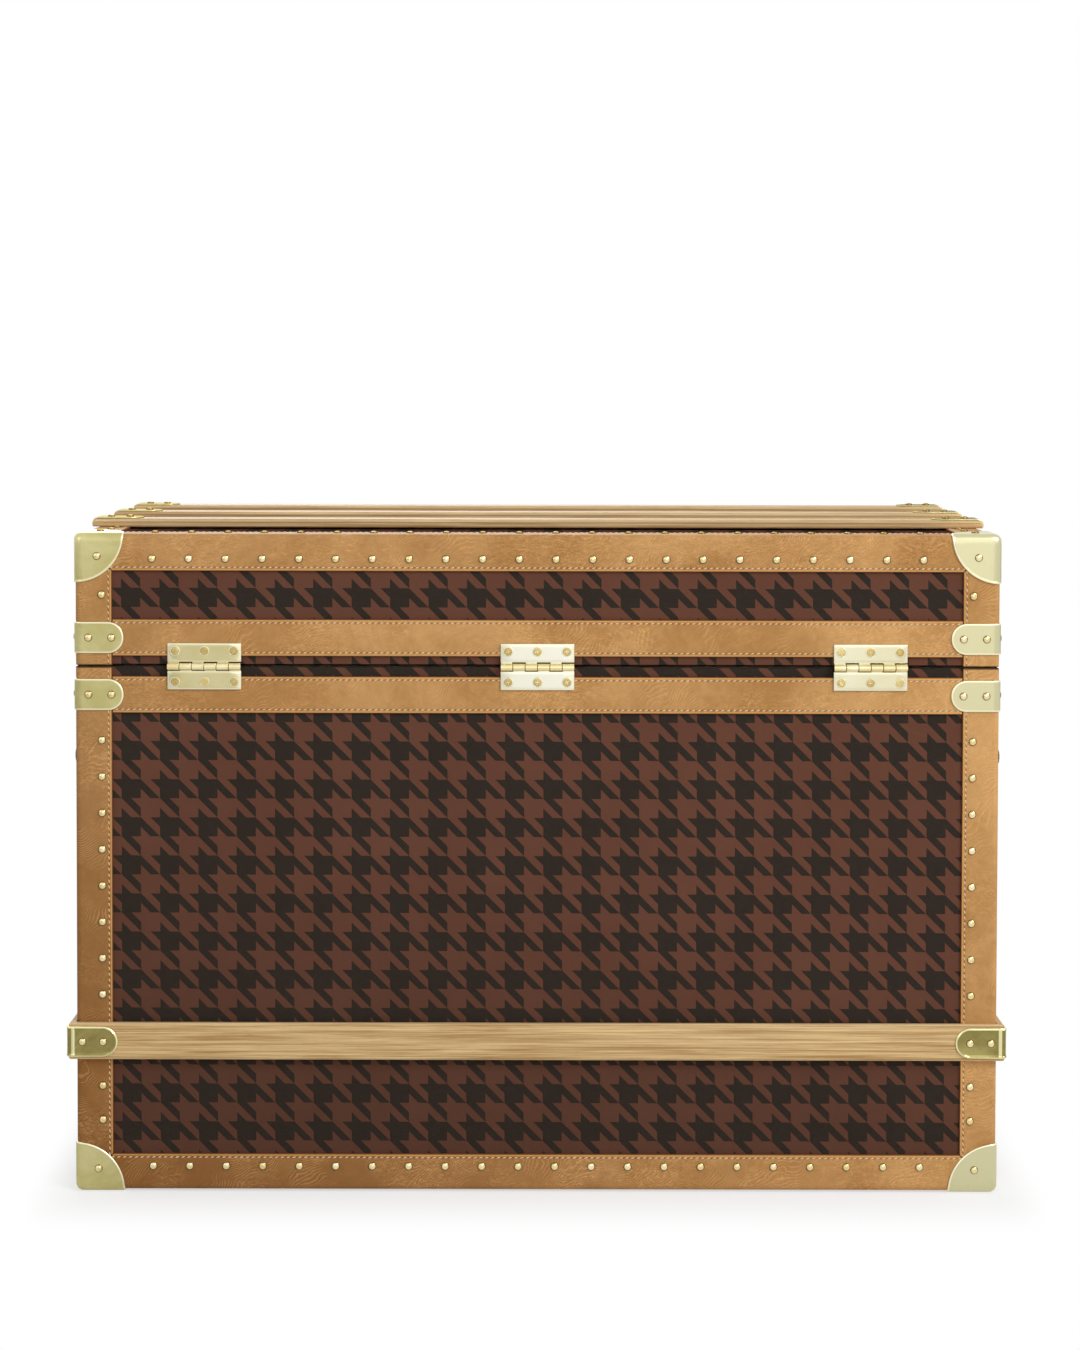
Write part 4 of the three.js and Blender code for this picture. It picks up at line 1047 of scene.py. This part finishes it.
def band_seams(half):
    """The stitch lines of one half's leather."""
    flat, rim, up = (HALVES[half][key] for key in ("flat", "rim", "up"))
    lip = BAND_WIDTH - STITCH_INSET
    past_rim, clear = 1.0 * MM, 1.5 * MM
    rows = []
    start, end = flat - up * lip, rim + up * past_rim
    for signs in SIGNS:
        for spot, outward in edge_faces(*signs, lip):
            rows.append(seam((*spot, start), (*spot, end), outward))
    low, high = rim_band_heights(half)
    for axis in (0, 1):
        reach = HALF[axis] - lip
        short = HALF[axis] - BAND_WIDTH - clear
        for sign in (1, -1):
            point, outward = wall_place(axis, sign), wall_outward(axis, sign)
            for end, height, out, facing in (
                (reach, flat - up * lip, 0, outward), (reach, flat, -lip, (0, 0, up)),
                (short, low + STITCH_INSET, 0, outward), (short, high - STITCH_INSET, 0, outward),
            ):
                rows.append(seam(point(-end, height, out), point(end, height, out), facing))
    make_piece(f"stitching_{half}", joined(rows), "thread", half, smooth=80.0)


def nails_at(centres, outward):
    """Nails on one face."""
    outward = np.array(outward, float)
    return scattered(NAIL, np.array(centres, float).reshape(-1, 3), np.roll(outward, 1), outward)


def nail_row(first, last, outward):
    """Nails from first to last, their even pitch stretched to fit."""
    count = max(int(round(np.linalg.norm(last - first) / NAIL_PITCH)), 1) + 1
    return nails_at(first + (last - first) * np.linspace(0, 1, count)[:, None], outward)


def band_nails(half):
    """The nails along one half's leather: rows round the flat side and columns up the edges."""
    flat, up = HALVES[half]["flat"], HALVES[half]["up"]
    solids = []
    if half == "lid":
        columns = [np.array([flat - LID_COLUMN_NAIL])]
    else:
        above = np.linspace(BODY_RIM - BELOW_RIM, BELT_Z + ABOVE_BELT, BODY_COLUMN_NAILS)
        columns = [above, flat + np.array(FOOT_NAILS)]
    for signs in SIGNS:
        for heights in columns:
            for spot, outward in edge_faces(*signs, COLUMN_INSET):
                solids.append(nails_at([(*spot, height) for height in heights], outward))
    for axis in (0, 1):
        reach = HALF[axis] - FIRST_NAIL_IN
        for sign in (1, -1):
            point = wall_place(axis, sign)
            ends = [point(end, flat - up * NAIL_INSET, 0) for end in (-reach, reach)]
            solids.append(nail_row(*ends, wall_outward(axis, sign)))
            if half == "lid":
                ends = [point(end, flat, -NAIL_INSET) for end in (-reach, reach)]
                solids.append(nail_row(*ends, (0, 0, up)))
    return solids


def corner_cap(sign_x, sign_y, flat, up):
    """A three-sided brass corner.

    Round the corner, three quarter discs lie on three faces. A point at a radius and a turn on
    each is moved to its core, the edge radius inside all faces, plus that radius and a lift. A low
    ridge runs just inside the rim.
    """
    shoulder = 1 - 0.016 * (1 - np.sin(np.linspace(0, math.pi / 2, 5)))
    shares = [[0.0004], np.linspace(0.06, 0.90, 12), np.linspace(0.925, 0.98, 6), shoulder]
    radial = CAP_REACH * np.concatenate(shares)
    turns = np.linspace(0, 1, 25)[:-1]
    columns = []
    for first, second in ((0, 1), (1, 2), (2, 0)):
        for turn in turns:
            angle = turn * math.pi / 2
            section = np.zeros((len(radial), 3))
            section[:, first] = -radial * math.cos(angle)
            section[:, second] = -radial * math.sin(angle)
            columns.append(section)
    sharp = np.stack(columns, 1)
    core = np.minimum(sharp, -EDGE_RADIUS)
    away = unit(sharp - core)
    distance = (CAP_REACH - radial)[:, None] * np.ones(sharp.shape[1])
    height = rounded_height(distance, BRASS, PLATE_EDGE)
    ridge_in, ridge_width = 1.3 * MM, 0.7 * MM
    height = height + CAP_RIDGE * np.exp(-((distance - ridge_in) / ridge_width) ** 2)
    outer = core + away * (EDGE_RADIUS + SEAT + height)[..., None]
    inner = core + away * (EDGE_RADIUS + SEAT)
    scale = np.array([sign_x, sign_y, up])
    origin = np.array([sign_x * HALF[0], sign_y * HALF[1], flat])
    points = np.concatenate([outer, inner[::-1]]) * scale + origin
    rows, columns_count = points.shape[:2]
    inset = np.concatenate([distance, distance[::-1]])
    return Solid(points, grid_faces(rows, columns_count, True), np.stack([inset, inset], -1))


def capped_strip(lengths, height, place, thickness, edge, radius, bead=0.0, square_end=False):
    """A brass strip folded round an edge, with half-round ends and, given its height, a raised bead.

    Across the strip, a share of the half height is the sine of an even step, so that the half-round
    ends come out even. The strip's length grows by the cosine of that step. A square end keeps its
    full length all the way across.
    """
    half = height / 2
    step = np.linspace(-math.pi / 2, math.pi / 2, 31)
    up = half * np.sin(step)
    bulge = half * np.cos(step)
    lip = lip_places(edge)
    reach = (lengths[0] - half, lengths[1] - (0 if square_end else half))
    turn = radius * np.linspace(-1, 1, 9)
    rows = []
    for swell in bulge:
        first = -(reach[0] + swell)
        last = reach[1] + (0 if square_end else swell)
        left = np.linspace(first + edge, -radius, 34)[1:-1]
        right = np.linspace(radius, last - edge, 3 if square_end else 34)[1:-1]
        rows.append(np.concatenate([first + lip, left, turn, right, (last - lip)[::-1]]))
    across = np.array(rows)
    heights = np.broadcast_to(up[:, None], across.shape)
    beyond = np.maximum(-across - reach[0], 0)
    if square_end:
        distance = np.minimum(half - np.hypot(heights, beyond), reach[1] - across)
    else:
        distance = half - np.hypot(heights, beyond + np.maximum(across - reach[1], 0))
    lift = rounded_height(np.maximum(distance, 0), thickness, edge)
    inset = distance
    if bead:
        from_fold, from_rim, bead_width = 2.6 * MM, 1.7 * MM, 0.8 * MM
        upright = np.abs(np.abs(across) - radius - from_fold)
        nearest = np.minimum(np.abs(distance - from_rim), upright)
        lift = lift + bead * np.exp(-(nearest / bead_width) ** 2)
        inset = np.minimum(distance, upright)
    top = place(fold(across, lift + SEAT, radius), heights)
    bottom = place(fold(across, 0 * lift + SEAT, radius), heights)
    return shell(top, bottom, np.stack([across, inset], -1))


def edge_clamps():
    """The brass clamps round the upright edges: rim clamps on both halves, and belt clamps."""
    names = {(1, 1): "back_right", (-1, 1): "back_left", (-1, -1): "front_left", (1, -1): "front_right"}
    belt_out = BELT_HIGH[1] - HALF[1]
    for (sign_x, sign_y), name in names.items():
        for half in ("lid", "body"):
            middle = RIM_CLAMP_Z[half]

            def place(section, along, middle=middle):
                return upright_place(sign_x, sign_y)(section, along + middle)

            solid = capped_strip([CLAMP_LENGTH] * 2, CLAMP_HEIGHT, place, BRASS, PLATE_EDGE, EDGE_RADIUS)
            node = f"{half}_rim_clamp_{name}"
            make_piece(f"{node}_plate", solid, "brass", half, [node])

        def belt_place(section, along):
            return upright_place(sign_x, sign_y)(section + belt_out, along + BELT_Z)

        lengths = [BELT_CLAMP_LENGTH] * 2
        solid = capped_strip(
            lengths, BELT_CLAMP_HEIGHT, belt_place, BRASS, THIN_EDGE, BELT_EDGE, BELT_CLAMP_BEAD)
        node = f"belt_clamp_{name}"
        make_piece(f"{node}_plate", solid, "shaded_belt_brass", "body", [node])
        for half in ("lid", "body"):
            flat, up = HALVES[half]["flat"], HALVES[half]["up"]
            node = f"{half}_corner_{name}"
            make_piece(f"{node}_cap", corner_cap(sign_x, sign_y, flat, up), "brass", half, [node])


def clamp_nails():
    """Two nails in each wing of the edge clamps, and one in each face of the corner caps."""
    solids = {"body": [], "lid": []}
    out = SEAT + BRASS
    belt_out = BELT_HIGH[1] - HALF[1] + out
    for sign_x, sign_y in SIGNS:
        rows = [(half, RIM_CLAMP_Z[half], CLAMP_NAILS, out, 0.0) for half in ("lid", "body")]
        rows.append(("body", BELT_Z, BELT_CLAMP_NAILS, belt_out, belt_out))
        for half, height, places, lift, start in rows:
            for place in places:
                for spot, outward in edge_faces(sign_x, sign_y, place - start, lift):
                    solids[half].append(nails_at((*spot, height), outward))
        for half in ("body", "lid"):
            flat, up = HALVES[half]["flat"], HALVES[half]["up"]
            scale = np.array([sign_x, sign_y, up])
            corner = np.array([sign_x * HALF[0], sign_y * HALF[1], flat])
            for axis in range(3 if half == "lid" else 2):
                inset = np.full(3, -CAP_NAIL)
                inset[axis] = out
                outward = np.zeros(3)
                outward[axis] = scale[axis]
                solids[half].append(nails_at(corner + inset * scale, outward))
    return solids


def slat(halfwall, width, thickness, place, seed, mitred):
    """A wooden slat: a flat strip with rounded long edges, and ends rounded down or mitred.

    Its map runs along it and across it, from a start of its own, so that no two grains are alike.
    """
    edge = end = SLAT_ROUND
    near = 0.96
    if mitred:
        close = np.linspace(near, 1, 9)[1:]
        share = np.concatenate([-close[::-1], np.linspace(-near, near, 25), close])
    else:
        lip = lip_places(end / halfwall, 6)
        share = np.concatenate([-1 + lip, np.linspace(-1, 1, 27)[1:-1], (1 - lip)[::-1]])
    across = spaced(width, edge, 5) - width / 2
    u, v = np.meshgrid(share, across, indexing="ij")
    height = rounded_height(width / 2 - np.abs(v), thickness, edge)
    if mitred:
        along = u * (halfwall + height)
        low = u * halfwall
    else:
        height = height - (end - rounded_height(halfwall * (1 - np.abs(u)), end, end))
        along = low = u * halfwall
    offset = np.array([seed * 1.7, seed * 0.31, 0.0])
    inset = width / 2 - np.abs(v)
    chart = np.stack([along, v, inset], -1) + offset
    under = np.stack([low, v + np.sign(v) * thickness, inset - thickness], -1) + offset
    return shell(place(along, v, height), place(low, v, 0 * height), chart, under)


def slats():
    """The belt of four slats, and the three slats across the lid with brass clamps on their ends.

    The clamps' nails are returned, to join the others.
    """
    belt = BELT_HIGH[1] - HALF[1] - SEAT
    for seed, (name, axis, sign) in enumerate(BELT_SIDES):
        def place(along, across, out, axis=axis, sign=sign):
            away = sign * (HALF[1 - axis] + SEAT + out)
            pair = [along, away] if axis == 0 else [away, along]
            return np.stack([*pair, BELT_Z + across], -1)

        solid = slat(HALF[axis], BELT_HIGH[2] - BELT_LOW[2], belt, place, seed + 1, True)
        make_piece(f"belt_wood_{name}", solid, "wood", "body", [f"belt_slat_{name}"])

    clamps, nails = [], []
    for seed, name in enumerate(("back", "middle", "front")):
        low, high = np.array(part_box(f"lid_slat_{name}"))
        middle, thickness = (low[1] + high[1]) / 2, high[2] - low[2]

        def place(along, across, out, middle=middle, base=low[2]):
            return np.stack([along, middle + across, base + out], -1)

        solid = slat(high[0], high[1] - low[1], thickness, place, seed + 6, False)
        make_piece(f"lid_wood_{name}", solid, "wood", "lid", [f"lid_slat_{name}"])
        for sign in (1, -1):
            def clamp_place(section, along, sign=sign, middle=middle, high=high):
                x = sign * (high[0] + section[..., 0])
                return np.stack([x, middle + along, high[2] + section[..., 1]], -1)

            lengths = (SLAT_CLAMP_LENGTH, thickness - SLAT_CLAMP_SHORT)
            clamps.append(capped_strip(
                lengths, SLAT_CLAMP_WIDTH, clamp_place, BRASS, THIN_EDGE, SLAT_EDGE, square_end=True))
            for inset in SLAT_CLAMP_NAILS:
                nails.append(nails_at((sign * (high[0] - inset), middle, high[2] + SEAT + BRASS), (0, 0, 1)))
    make_piece("slat_clamps", joined(clamps), "dull", "lid")
    return nails


def rounded_path(corners, radius, steps=6):
    """Points along a bent line whose corners are rounded, and the direction to its left at each."""
    corners = np.array(corners, float)
    runs = unit(np.diff(corners, axis=0))
    lefts = np.stack([-runs[:, 1], runs[:, 0]], -1)
    points, normals = [corners[0]], [lefts[0]]
    for here, run, left, after in zip(corners[1:], runs, lefts, runs[1:]):
        turn = math.atan2(run[0] * after[1] - run[1] * after[0], run @ after)
        start = here - run * radius * math.tan(abs(turn) / 2)
        bend = radius * math.copysign(1, turn)
        for share in np.linspace(0, 1, steps):
            c, s = math.cos(turn * share), math.sin(turn * share)
            normal = np.array([c * left[0] - s * left[1], s * left[0] + c * left[1]])
            points.append(start + left * bend - normal * bend)
            normals.append(normal)
    return np.array([*points, corners[-1]]), np.array([*normals, lefts[-1]])


def seam_along(points, outward):
    """Stitches at their pitch along a line of points, with the outward direction at each point."""
    run = running_length(points)
    count = max(int(run[-1] / STITCH_PITCH), 1)
    at = (np.arange(count) + 0.5) / count * run[-1]
    step = 0.1 * MM
    along = values_at(at + step, run, points) - values_at(at - step, run, points)
    out = values_at(at, run, np.broadcast_to(outward, points.shape))
    out -= along * ((out * along).sum(-1) / (along ** 2).sum(-1))[:, None]
    return scattered(STITCH, values_at(at, run, points), unit(along), unit(out))


def handle_bridge():
    """A brass loop over a handle's end, drawn on its pad: flat feet, two walls and a roof."""
    inner, roof, foot, width, bend = (value * MM for value in (17.6, 5.9, 28.0, 24.0, 2.8))
    edge = THIN_EDGE
    corners = [(-foot, 0), (-inner, 0), (-inner, roof), (inner, roof), (inner, 0), (foot, 0)]
    path, normals = rounded_path(corners, bend)
    run = running_length(path)
    lip = lip_places(edge)
    places = np.unique(np.concatenate([lip, run[1:-1], np.linspace(0.1, 0.9, 30) * run[-1], run[-1] - lip]))
    path, normals = (values_at(places, run, values) for values in (path, normals))
    across = spaced(width, edge, 3) - width / 2
    distance = np.minimum(
        np.minimum(places, places[-1] - places)[:, None], (width / 2 - abs(across))[None, :],
    )
    lift = rounded_height(distance, BRIDGE_WALL, edge)[..., None]
    sides = []
    for rise in (lift, 0 * lift):
        spot = path[:, None, :] + normals[:, None, :] * rise
        sides.append(np.stack([np.broadcast_to(across, distance.shape), spot[..., 0], spot[..., 1]], -1))
    return shell(*sides)


def smooth_share(value, low, high):
    """0 below low and 1 above high, with a smooth step between."""
    share = np.clip((value - low) / (high - low), 0, 1)
    return share * share * (3 - 2 * share)


def grip_rings():
    """Rings of a handle's grip: flat ends swell into a rolled bow that stands clear of the wall.

    A smooth step carries its stand-off, its thickness, its width and the power of its superellipse
    from the ends to the middle. Each ring stands square to the bow.
    """
    along = np.linspace(-1, 1, GRIP_RINGS) * GRIP_HALF
    share = 1 - smooth_share(abs(along), BOW_FULL, BOW_START)
    out = GRIP_OUT + GRIP_BOW * share
    slope = np.gradient(out, along)
    half_out, half_up = ((end + (middle - end) * share) / 2 for end, middle in zip(GRIP_END, GRIP_MIDDLE))
    power = 0.3 + 0.6 * share
    turn = (np.arange(GRIP_SIDES) + 0.5) / GRIP_SIDES * math.tau
    cos, sin = np.cos(turn), np.sin(turn)
    across = np.sign(cos) * abs(cos) ** power[:, None] * half_out[:, None]
    up = np.sign(sin) * abs(sin) ** power[:, None] * half_up[:, None]
    normal = unit(np.stack([-slope, 0 * slope, 1 + 0 * slope], -1))
    middle = np.stack([along, 0 * along, out], -1)
    return middle[:, None] + normal[:, None] * across[..., None] + np.array([0, 1, 0]) * up[..., None]


def pad_stitches():
    """The line of stitches round a handle's pad, drawn flat."""
    half = (PAD_SIZE[0] / 2 - STITCH_INSET, PAD_SIZE[1] / 2 - STITCH_INSET)
    bend = 8.0 * MM
    corners = [
        (0, -half[1]), (half[0], -half[1]), half, (-half[0], half[1]), (-half[0], -half[1]), (0, -half[1]),
    ]
    path, _ = rounded_path(corners, bend, 9)
    return seam_along(np.column_stack([path, np.full(len(path), PAD_FACE)]), (0, 0, 1))


def handles():
    """The end handles: a stitched leather pad, two brass bridges and a stitched grip on each end."""
    rings = grip_rings()
    bowed = rings[13:-13]
    grip_seams = [seam_along(bowed[:, k], bowed[:, k] - bowed.mean(1)) for k in (4, 27)]
    for name, sign in (("right", 1), ("left", -1)):
        mount, grip = f"handle_mount_{name}", f"handle_grip_{name}"
        low, high = np.array(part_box(f"handle_mount_{name}"))
        stand = ((sign * HALF[0], 0, (low[2] + high[2]) / 2), (sign, 0, 0))
        pad = moved(slab(*PAD_SIZE, PAD_THICKNESS, PLATE_EDGE, PAD_CORNER), (0, 0, -PAD_SUNK))
        make_piece(f"handle_pad_{name}", stood(pad, *stand), "leather", "body", [mount])
        parts, rivets = [], []
        for side in (-1, 1):
            middle = side * BRIDGE_FROM_MIDDLE
            parts.append(moved(handle_bridge(), (middle, 0, PAD_FACE)))
            for up in (-1, 1):
                for step in (-1, 1):
                    along = middle + step * BRIDGE_RIVET_STEP
                    rivets.append((along, up * BRIDGE_RIVET_RISE, PAD_FACE + BRIDGE_WALL))
        parts.append(scattered(RIVET, np.array(rivets), np.array([1.0, 0, 0]), np.array([0, 0, 1.0])))
        make_piece(
            f"handle_bridges_{name}", stood(joined(parts), *stand), "brass", "body", [mount])
        make_piece(
            f"{grip}_leather", stood(tube(rings), *stand), "dark_leather", "body", [grip])
        make_piece(
            f"{grip}_stitches", stood(joined(grip_seams), *stand), "dark_thread", "body",
            smooth=80.0)
        make_piece(
            f"handle_pad_stitches_{name}", stood(pad_stitches(), *stand), "thread", "body",
            smooth=80.0)


def tray_pulls():
    """A leather loop folded over each end of the tray, with two rivets through its inner leg.

    A strip of rounded outline is carried along a bent line in the section across the tray's wall.
    """
    _, high = np.array(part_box("tray"))
    thickness, corner = PULL_THICKNESS, PULL_CORNER
    play, edge, stitch_from = 0.1 * MM, 0.6 * MM, 5.0 * MM
    outer = thickness / 2 + play
    inner = -TRAY_WALL - outer
    bends = [(inner, PULL_INNER_END), (inner, PULL_CROWN), (outer, PULL_CROWN), (outer, PULL_OUTER_END)]
    path, lefts = rounded_path(bends, PULL_BEND, 9)
    run = running_length(path)
    near = lip_places(corner, 7)
    at = np.concatenate([near, np.linspace(corner, run[-1] - corner, 60)[1:-1], (run[-1] - near)[::-1]])
    centre, normal = (values_at(at, run, values) for values in (path, lefts))
    from_end = np.minimum(at, run[-1] - at)
    short = np.maximum(corner - from_end, 0)
    half = PULL_WIDTH / 2 - corner + np.sqrt(corner ** 2 - short ** 2)
    share = np.sin(np.linspace(-math.pi / 2, math.pi / 2, 15))
    across = half[:, None] * share
    distance = np.minimum(half[:, None] - abs(across), from_end[:, None])
    lift = rounded_height(distance, thickness, edge) - thickness / 2
    chart = np.stack([np.broadcast_to(at[:, None], distance.shape), distance], -1)
    seam_edge = PULL_WIDTH / 2 - STITCH_INSET
    kept = from_end > stitch_from
    for name, sign in (("right", 1), ("left", -1)):
        def placed(section, y, sign=sign):
            x = sign * (high[0] + section[..., 0])
            return np.stack([x, np.broadcast_to(y, x.shape), high[2] + section[..., 1]], -1)

        under = np.full(lift.shape, -thickness / 2)
        top, bottom = (
            placed(centre[:, None] + normal[:, None] * rise[..., None], across) for rise in (lift, under)
        )
        make_piece(f"tray_pull_{name}", shell(top, bottom, chart), "leather", "tray")
        outward = np.stack([sign * normal[kept, 0], 0 * normal[kept, 0], normal[kept, 1]], -1)
        skin = centre[kept] + normal[kept] * thickness / 2
        rows = [seam_along(placed(skin, side * seam_edge), outward) for side in (-1, 1)]
        make_piece(f"tray_pull_stitches_{name}", joined(rows), "thread", "tray", smooth=80.0)
        spots = [(inner - thickness / 2, up) for up in PULL_RIVETS]
        rivets = set_in(RIVET, placed(np.array(spots), 0.0), (-sign, 0, 0))
        make_piece(f"tray_pull_rivets_{name}", rivets, "nail", "tray", smooth=80.0)


leather_bands("body")
leather_bands("lid")
band_seams("body")
band_seams("lid")
edge_clamps()
small_nails = clamp_nails()
small_nails["lid"] += slats()
for half in ("body", "lid"):
    solids = band_nails(half) + small_nails[half]
    make_piece(f"nails_{half}", joined(solids), "nail", half, smooth=80.0)
back_hinges()
front_leaves()
front_plates()
handles()
tray_pulls()

SLOT_FINISHES = {
    "canvas": "canvas", "leather": "leather", "dark_leather": "dark_leather", "wood": "wood",
    "brass": "fitting", "steel": "steel", "plywood": "plywood", "lined_plywood": "lining",
    "lining": "lining",
}
for entry in frame["record"]["subparts"]:
    node = frame["nodes"][entry["node"]]
    node.data.materials.clear()
    node.data.materials.append(FINISHES[SLOT_FINISHES[entry["material_slot"]]])

# The frame's own pieces that stay in the model get softened edges
SOFT_EDGES = {
    "tray": 1.0 * MM, "body_collar": 1.0 * MM, "lid_lining": 0.6 * MM, "lock_case": 0.4 * MM,
    "lock_hasp": 0.3 * MM, "lock_cylinder": 0.25 * MM, "clasp_plate": 0.3 * MM, "clasp_strap": 0.3 * MM,
    "stay_": 0.3 * MM,
}
WELD_WITHIN = 0.01 * MM
SHARPER_THAN = math.radians(30)
for name, node in frame["nodes"].items():
    for start, width in SOFT_EDGES.items():
        if name.startswith(start):
            weld = node.modifiers.new("weld", "WELD")
            weld.merge_threshold = WELD_WITHIN
            bevel = node.modifiers.new("bevel", "BEVEL")
            bevel.width = width
            bevel.segments = 2
            bevel.limit_method = "ANGLE"
            bevel.angle_limit = SHARPER_THAN

# The camera stands behind the trunk, a little above the lid, where the photograph was taken from
IMAGE_HEIGHT = 1350
FOCAL_PX = 2719
AXIS_FROM_TOP_PX = 466.7
SENSOR = 36.0
CAMERA_PLACE = (-0.0018, 2.912, 0.8032)
CAMERA_DIP, CAMERA_ROLL = math.radians(2.0), math.radians(-0.127)
camera_data = bpy.data.cameras.new("camera")
camera_data.sensor_width = SENSOR
camera_data.lens = FOCAL_PX / IMAGE_HEIGHT * SENSOR
camera_data.shift_y = AXIS_FROM_TOP_PX / IMAGE_HEIGHT - 0.5
camera = bpy.data.objects.new("camera", camera_data)
camera.location = CAMERA_PLACE
camera.rotation_euler = (math.pi / 2 - CAMERA_DIP, CAMERA_ROLL, math.pi)
bpy.context.scene.collection.objects.link(camera)
bpy.context.scene.camera = camera


# Each lamp's name, place, the point it looks at, size and power
LAMPS = (
    ("key", (-2.5, 2.5, 3.0), (0, 0, 0.35), 2.0, 100),
    ("card", (-0.7, 5.2, 1.5), (0, 0, 0.45), 3.0, 15),
    ("fill", (2.6, 3.0, 2.0), (0, 0, 0.35), 1.8, 7),
    ("front_fill", (0.6, -3.2, 2.2), (0, 0, 0.35), 2.4, 46),
)
ROOM_LIGHT = 0.42
FLOOR_HALF = 9.0
MIRRORED_EYE = 2.35


def area_light(name, place, aim, size, power):
    """A large soft lamp at a place, turned to a point."""
    data = bpy.data.lights.new(name, "AREA")
    data.shape = "DISK"
    data.size = size
    data.energy = power
    lamp = bpy.data.objects.new(name, data)
    direction = np.array(aim) - np.array(place)
    lamp.location = place
    lamp.rotation_euler = (
        math.atan2(math.hypot(direction[0], direction[1]), -direction[2]), 0,
        math.atan2(direction[1], direction[0]) - math.pi / 2,
    )
    bpy.context.scene.collection.objects.link(lamp)


def room():
    """Even light all round, which shows as white to the camera and in what mirrors or lets through."""
    world = bpy.data.worlds.new("studio")
    world.use_nodes = True
    bpy.context.scene.world = world
    tree = world.node_tree
    background = tree.nodes["Background"]
    background.inputs["Color"].default_value = WHITE
    path = tree.nodes.new("ShaderNodeLightPath")
    strength = tree.nodes.new("ShaderNodeMapRange")
    strength.inputs["To Min"].default_value = ROOM_LIGHT
    strength.inputs["To Max"].default_value = 1.0
    shown = path.outputs["Is Camera Ray"]
    for kind in ("Is Glossy Ray", "Is Transmission Ray"):
        both = tree.nodes.new("ShaderNodeMath")
        both.operation = "MAXIMUM"
        tree.links.new(shown, both.inputs[0])
        tree.links.new(path.outputs[kind], both.inputs[1])
        shown = both.outputs[0]
    tree.links.new(shown, strength.inputs["Value"])
    tree.links.new(strength.outputs["Result"], background.inputs["Strength"])


def pale_floor():
    """A floor that keeps the soft shadow close to the trunk and fades to white away from it.

    The fade is the distance from the trunk's foot, over a length of its own beside it and before it.
    What mirrors sees the floor lit towards one side. The back of the trunk mirrors the camera to a
    point beyond its front, and the slope of a line from there tells where a floor point is mirrored.
    """
    finish = Finish("pale_floor", Base_Color=(0.9, 0.9, 0.9, 1.0), Roughness=0.9, Specular_IOR_Level=0.1)
    x, y, _ = finish.split(finish.place())
    fade_beside, fade_before = 55 * MM, 140 * MM
    beside = (abs(x) - HALF[0]).calc("MAXIMUM", 0.0) / fade_beside
    before = (abs(y) - HALF[1]).calc("MAXIMUM", 0.0) / fade_before
    far = (beside * beside + before * before).calc("SQRT").ramp(-0.35, 1.0)
    camera_ray = finish.add("ShaderNodeLightPath", {}, {}, "Is Camera Ray")
    glossy_ray = finish.add("ShaderNodeLightPath", {}, {}, "Is Glossy Ray")
    beam = x / (y + MIRRORED_EYE)
    lit_side = beam.ramp(0.29, -0.02) * (1 - beam.ramp(-0.05, -0.15) * 0.08)
    seen = camera_ray + glossy_ray * lit_side
    glow = finish.tree.nodes.new("ShaderNodeEmission")
    glow.inputs["Strength"].default_value = 1.0
    blend = finish.tree.nodes.new("ShaderNodeMixShader")
    finish.feed(blend.inputs[0], seen * (0.50 + far * 0.50))
    finish.tree.links.new(finish.shader.outputs[0], blend.inputs[1])
    finish.tree.links.new(glow.outputs[0], blend.inputs[2])
    finish.tree.links.new(blend.outputs[0], finish.tree.nodes["Material Output"].inputs["Surface"])
    corners = [(x * FLOOR_HALF, y * FLOOR_HALF, 0) for x, y in ((-1, -1), (1, -1), (1, 1), (-1, 1))]
    mesh = bpy.data.meshes.new("floor")
    mesh.from_pydata(corners, [], [(0, 1, 2, 3)])
    mesh.materials.append(finish.material)
    floor = bpy.data.objects.new("floor", mesh)
    bpy.context.scene.collection.objects.link(floor)


room()
for lamp in LAMPS:
    area_light(*lamp)
pale_floor()
bpy.context.scene.view_settings.view_transform = "Standard"
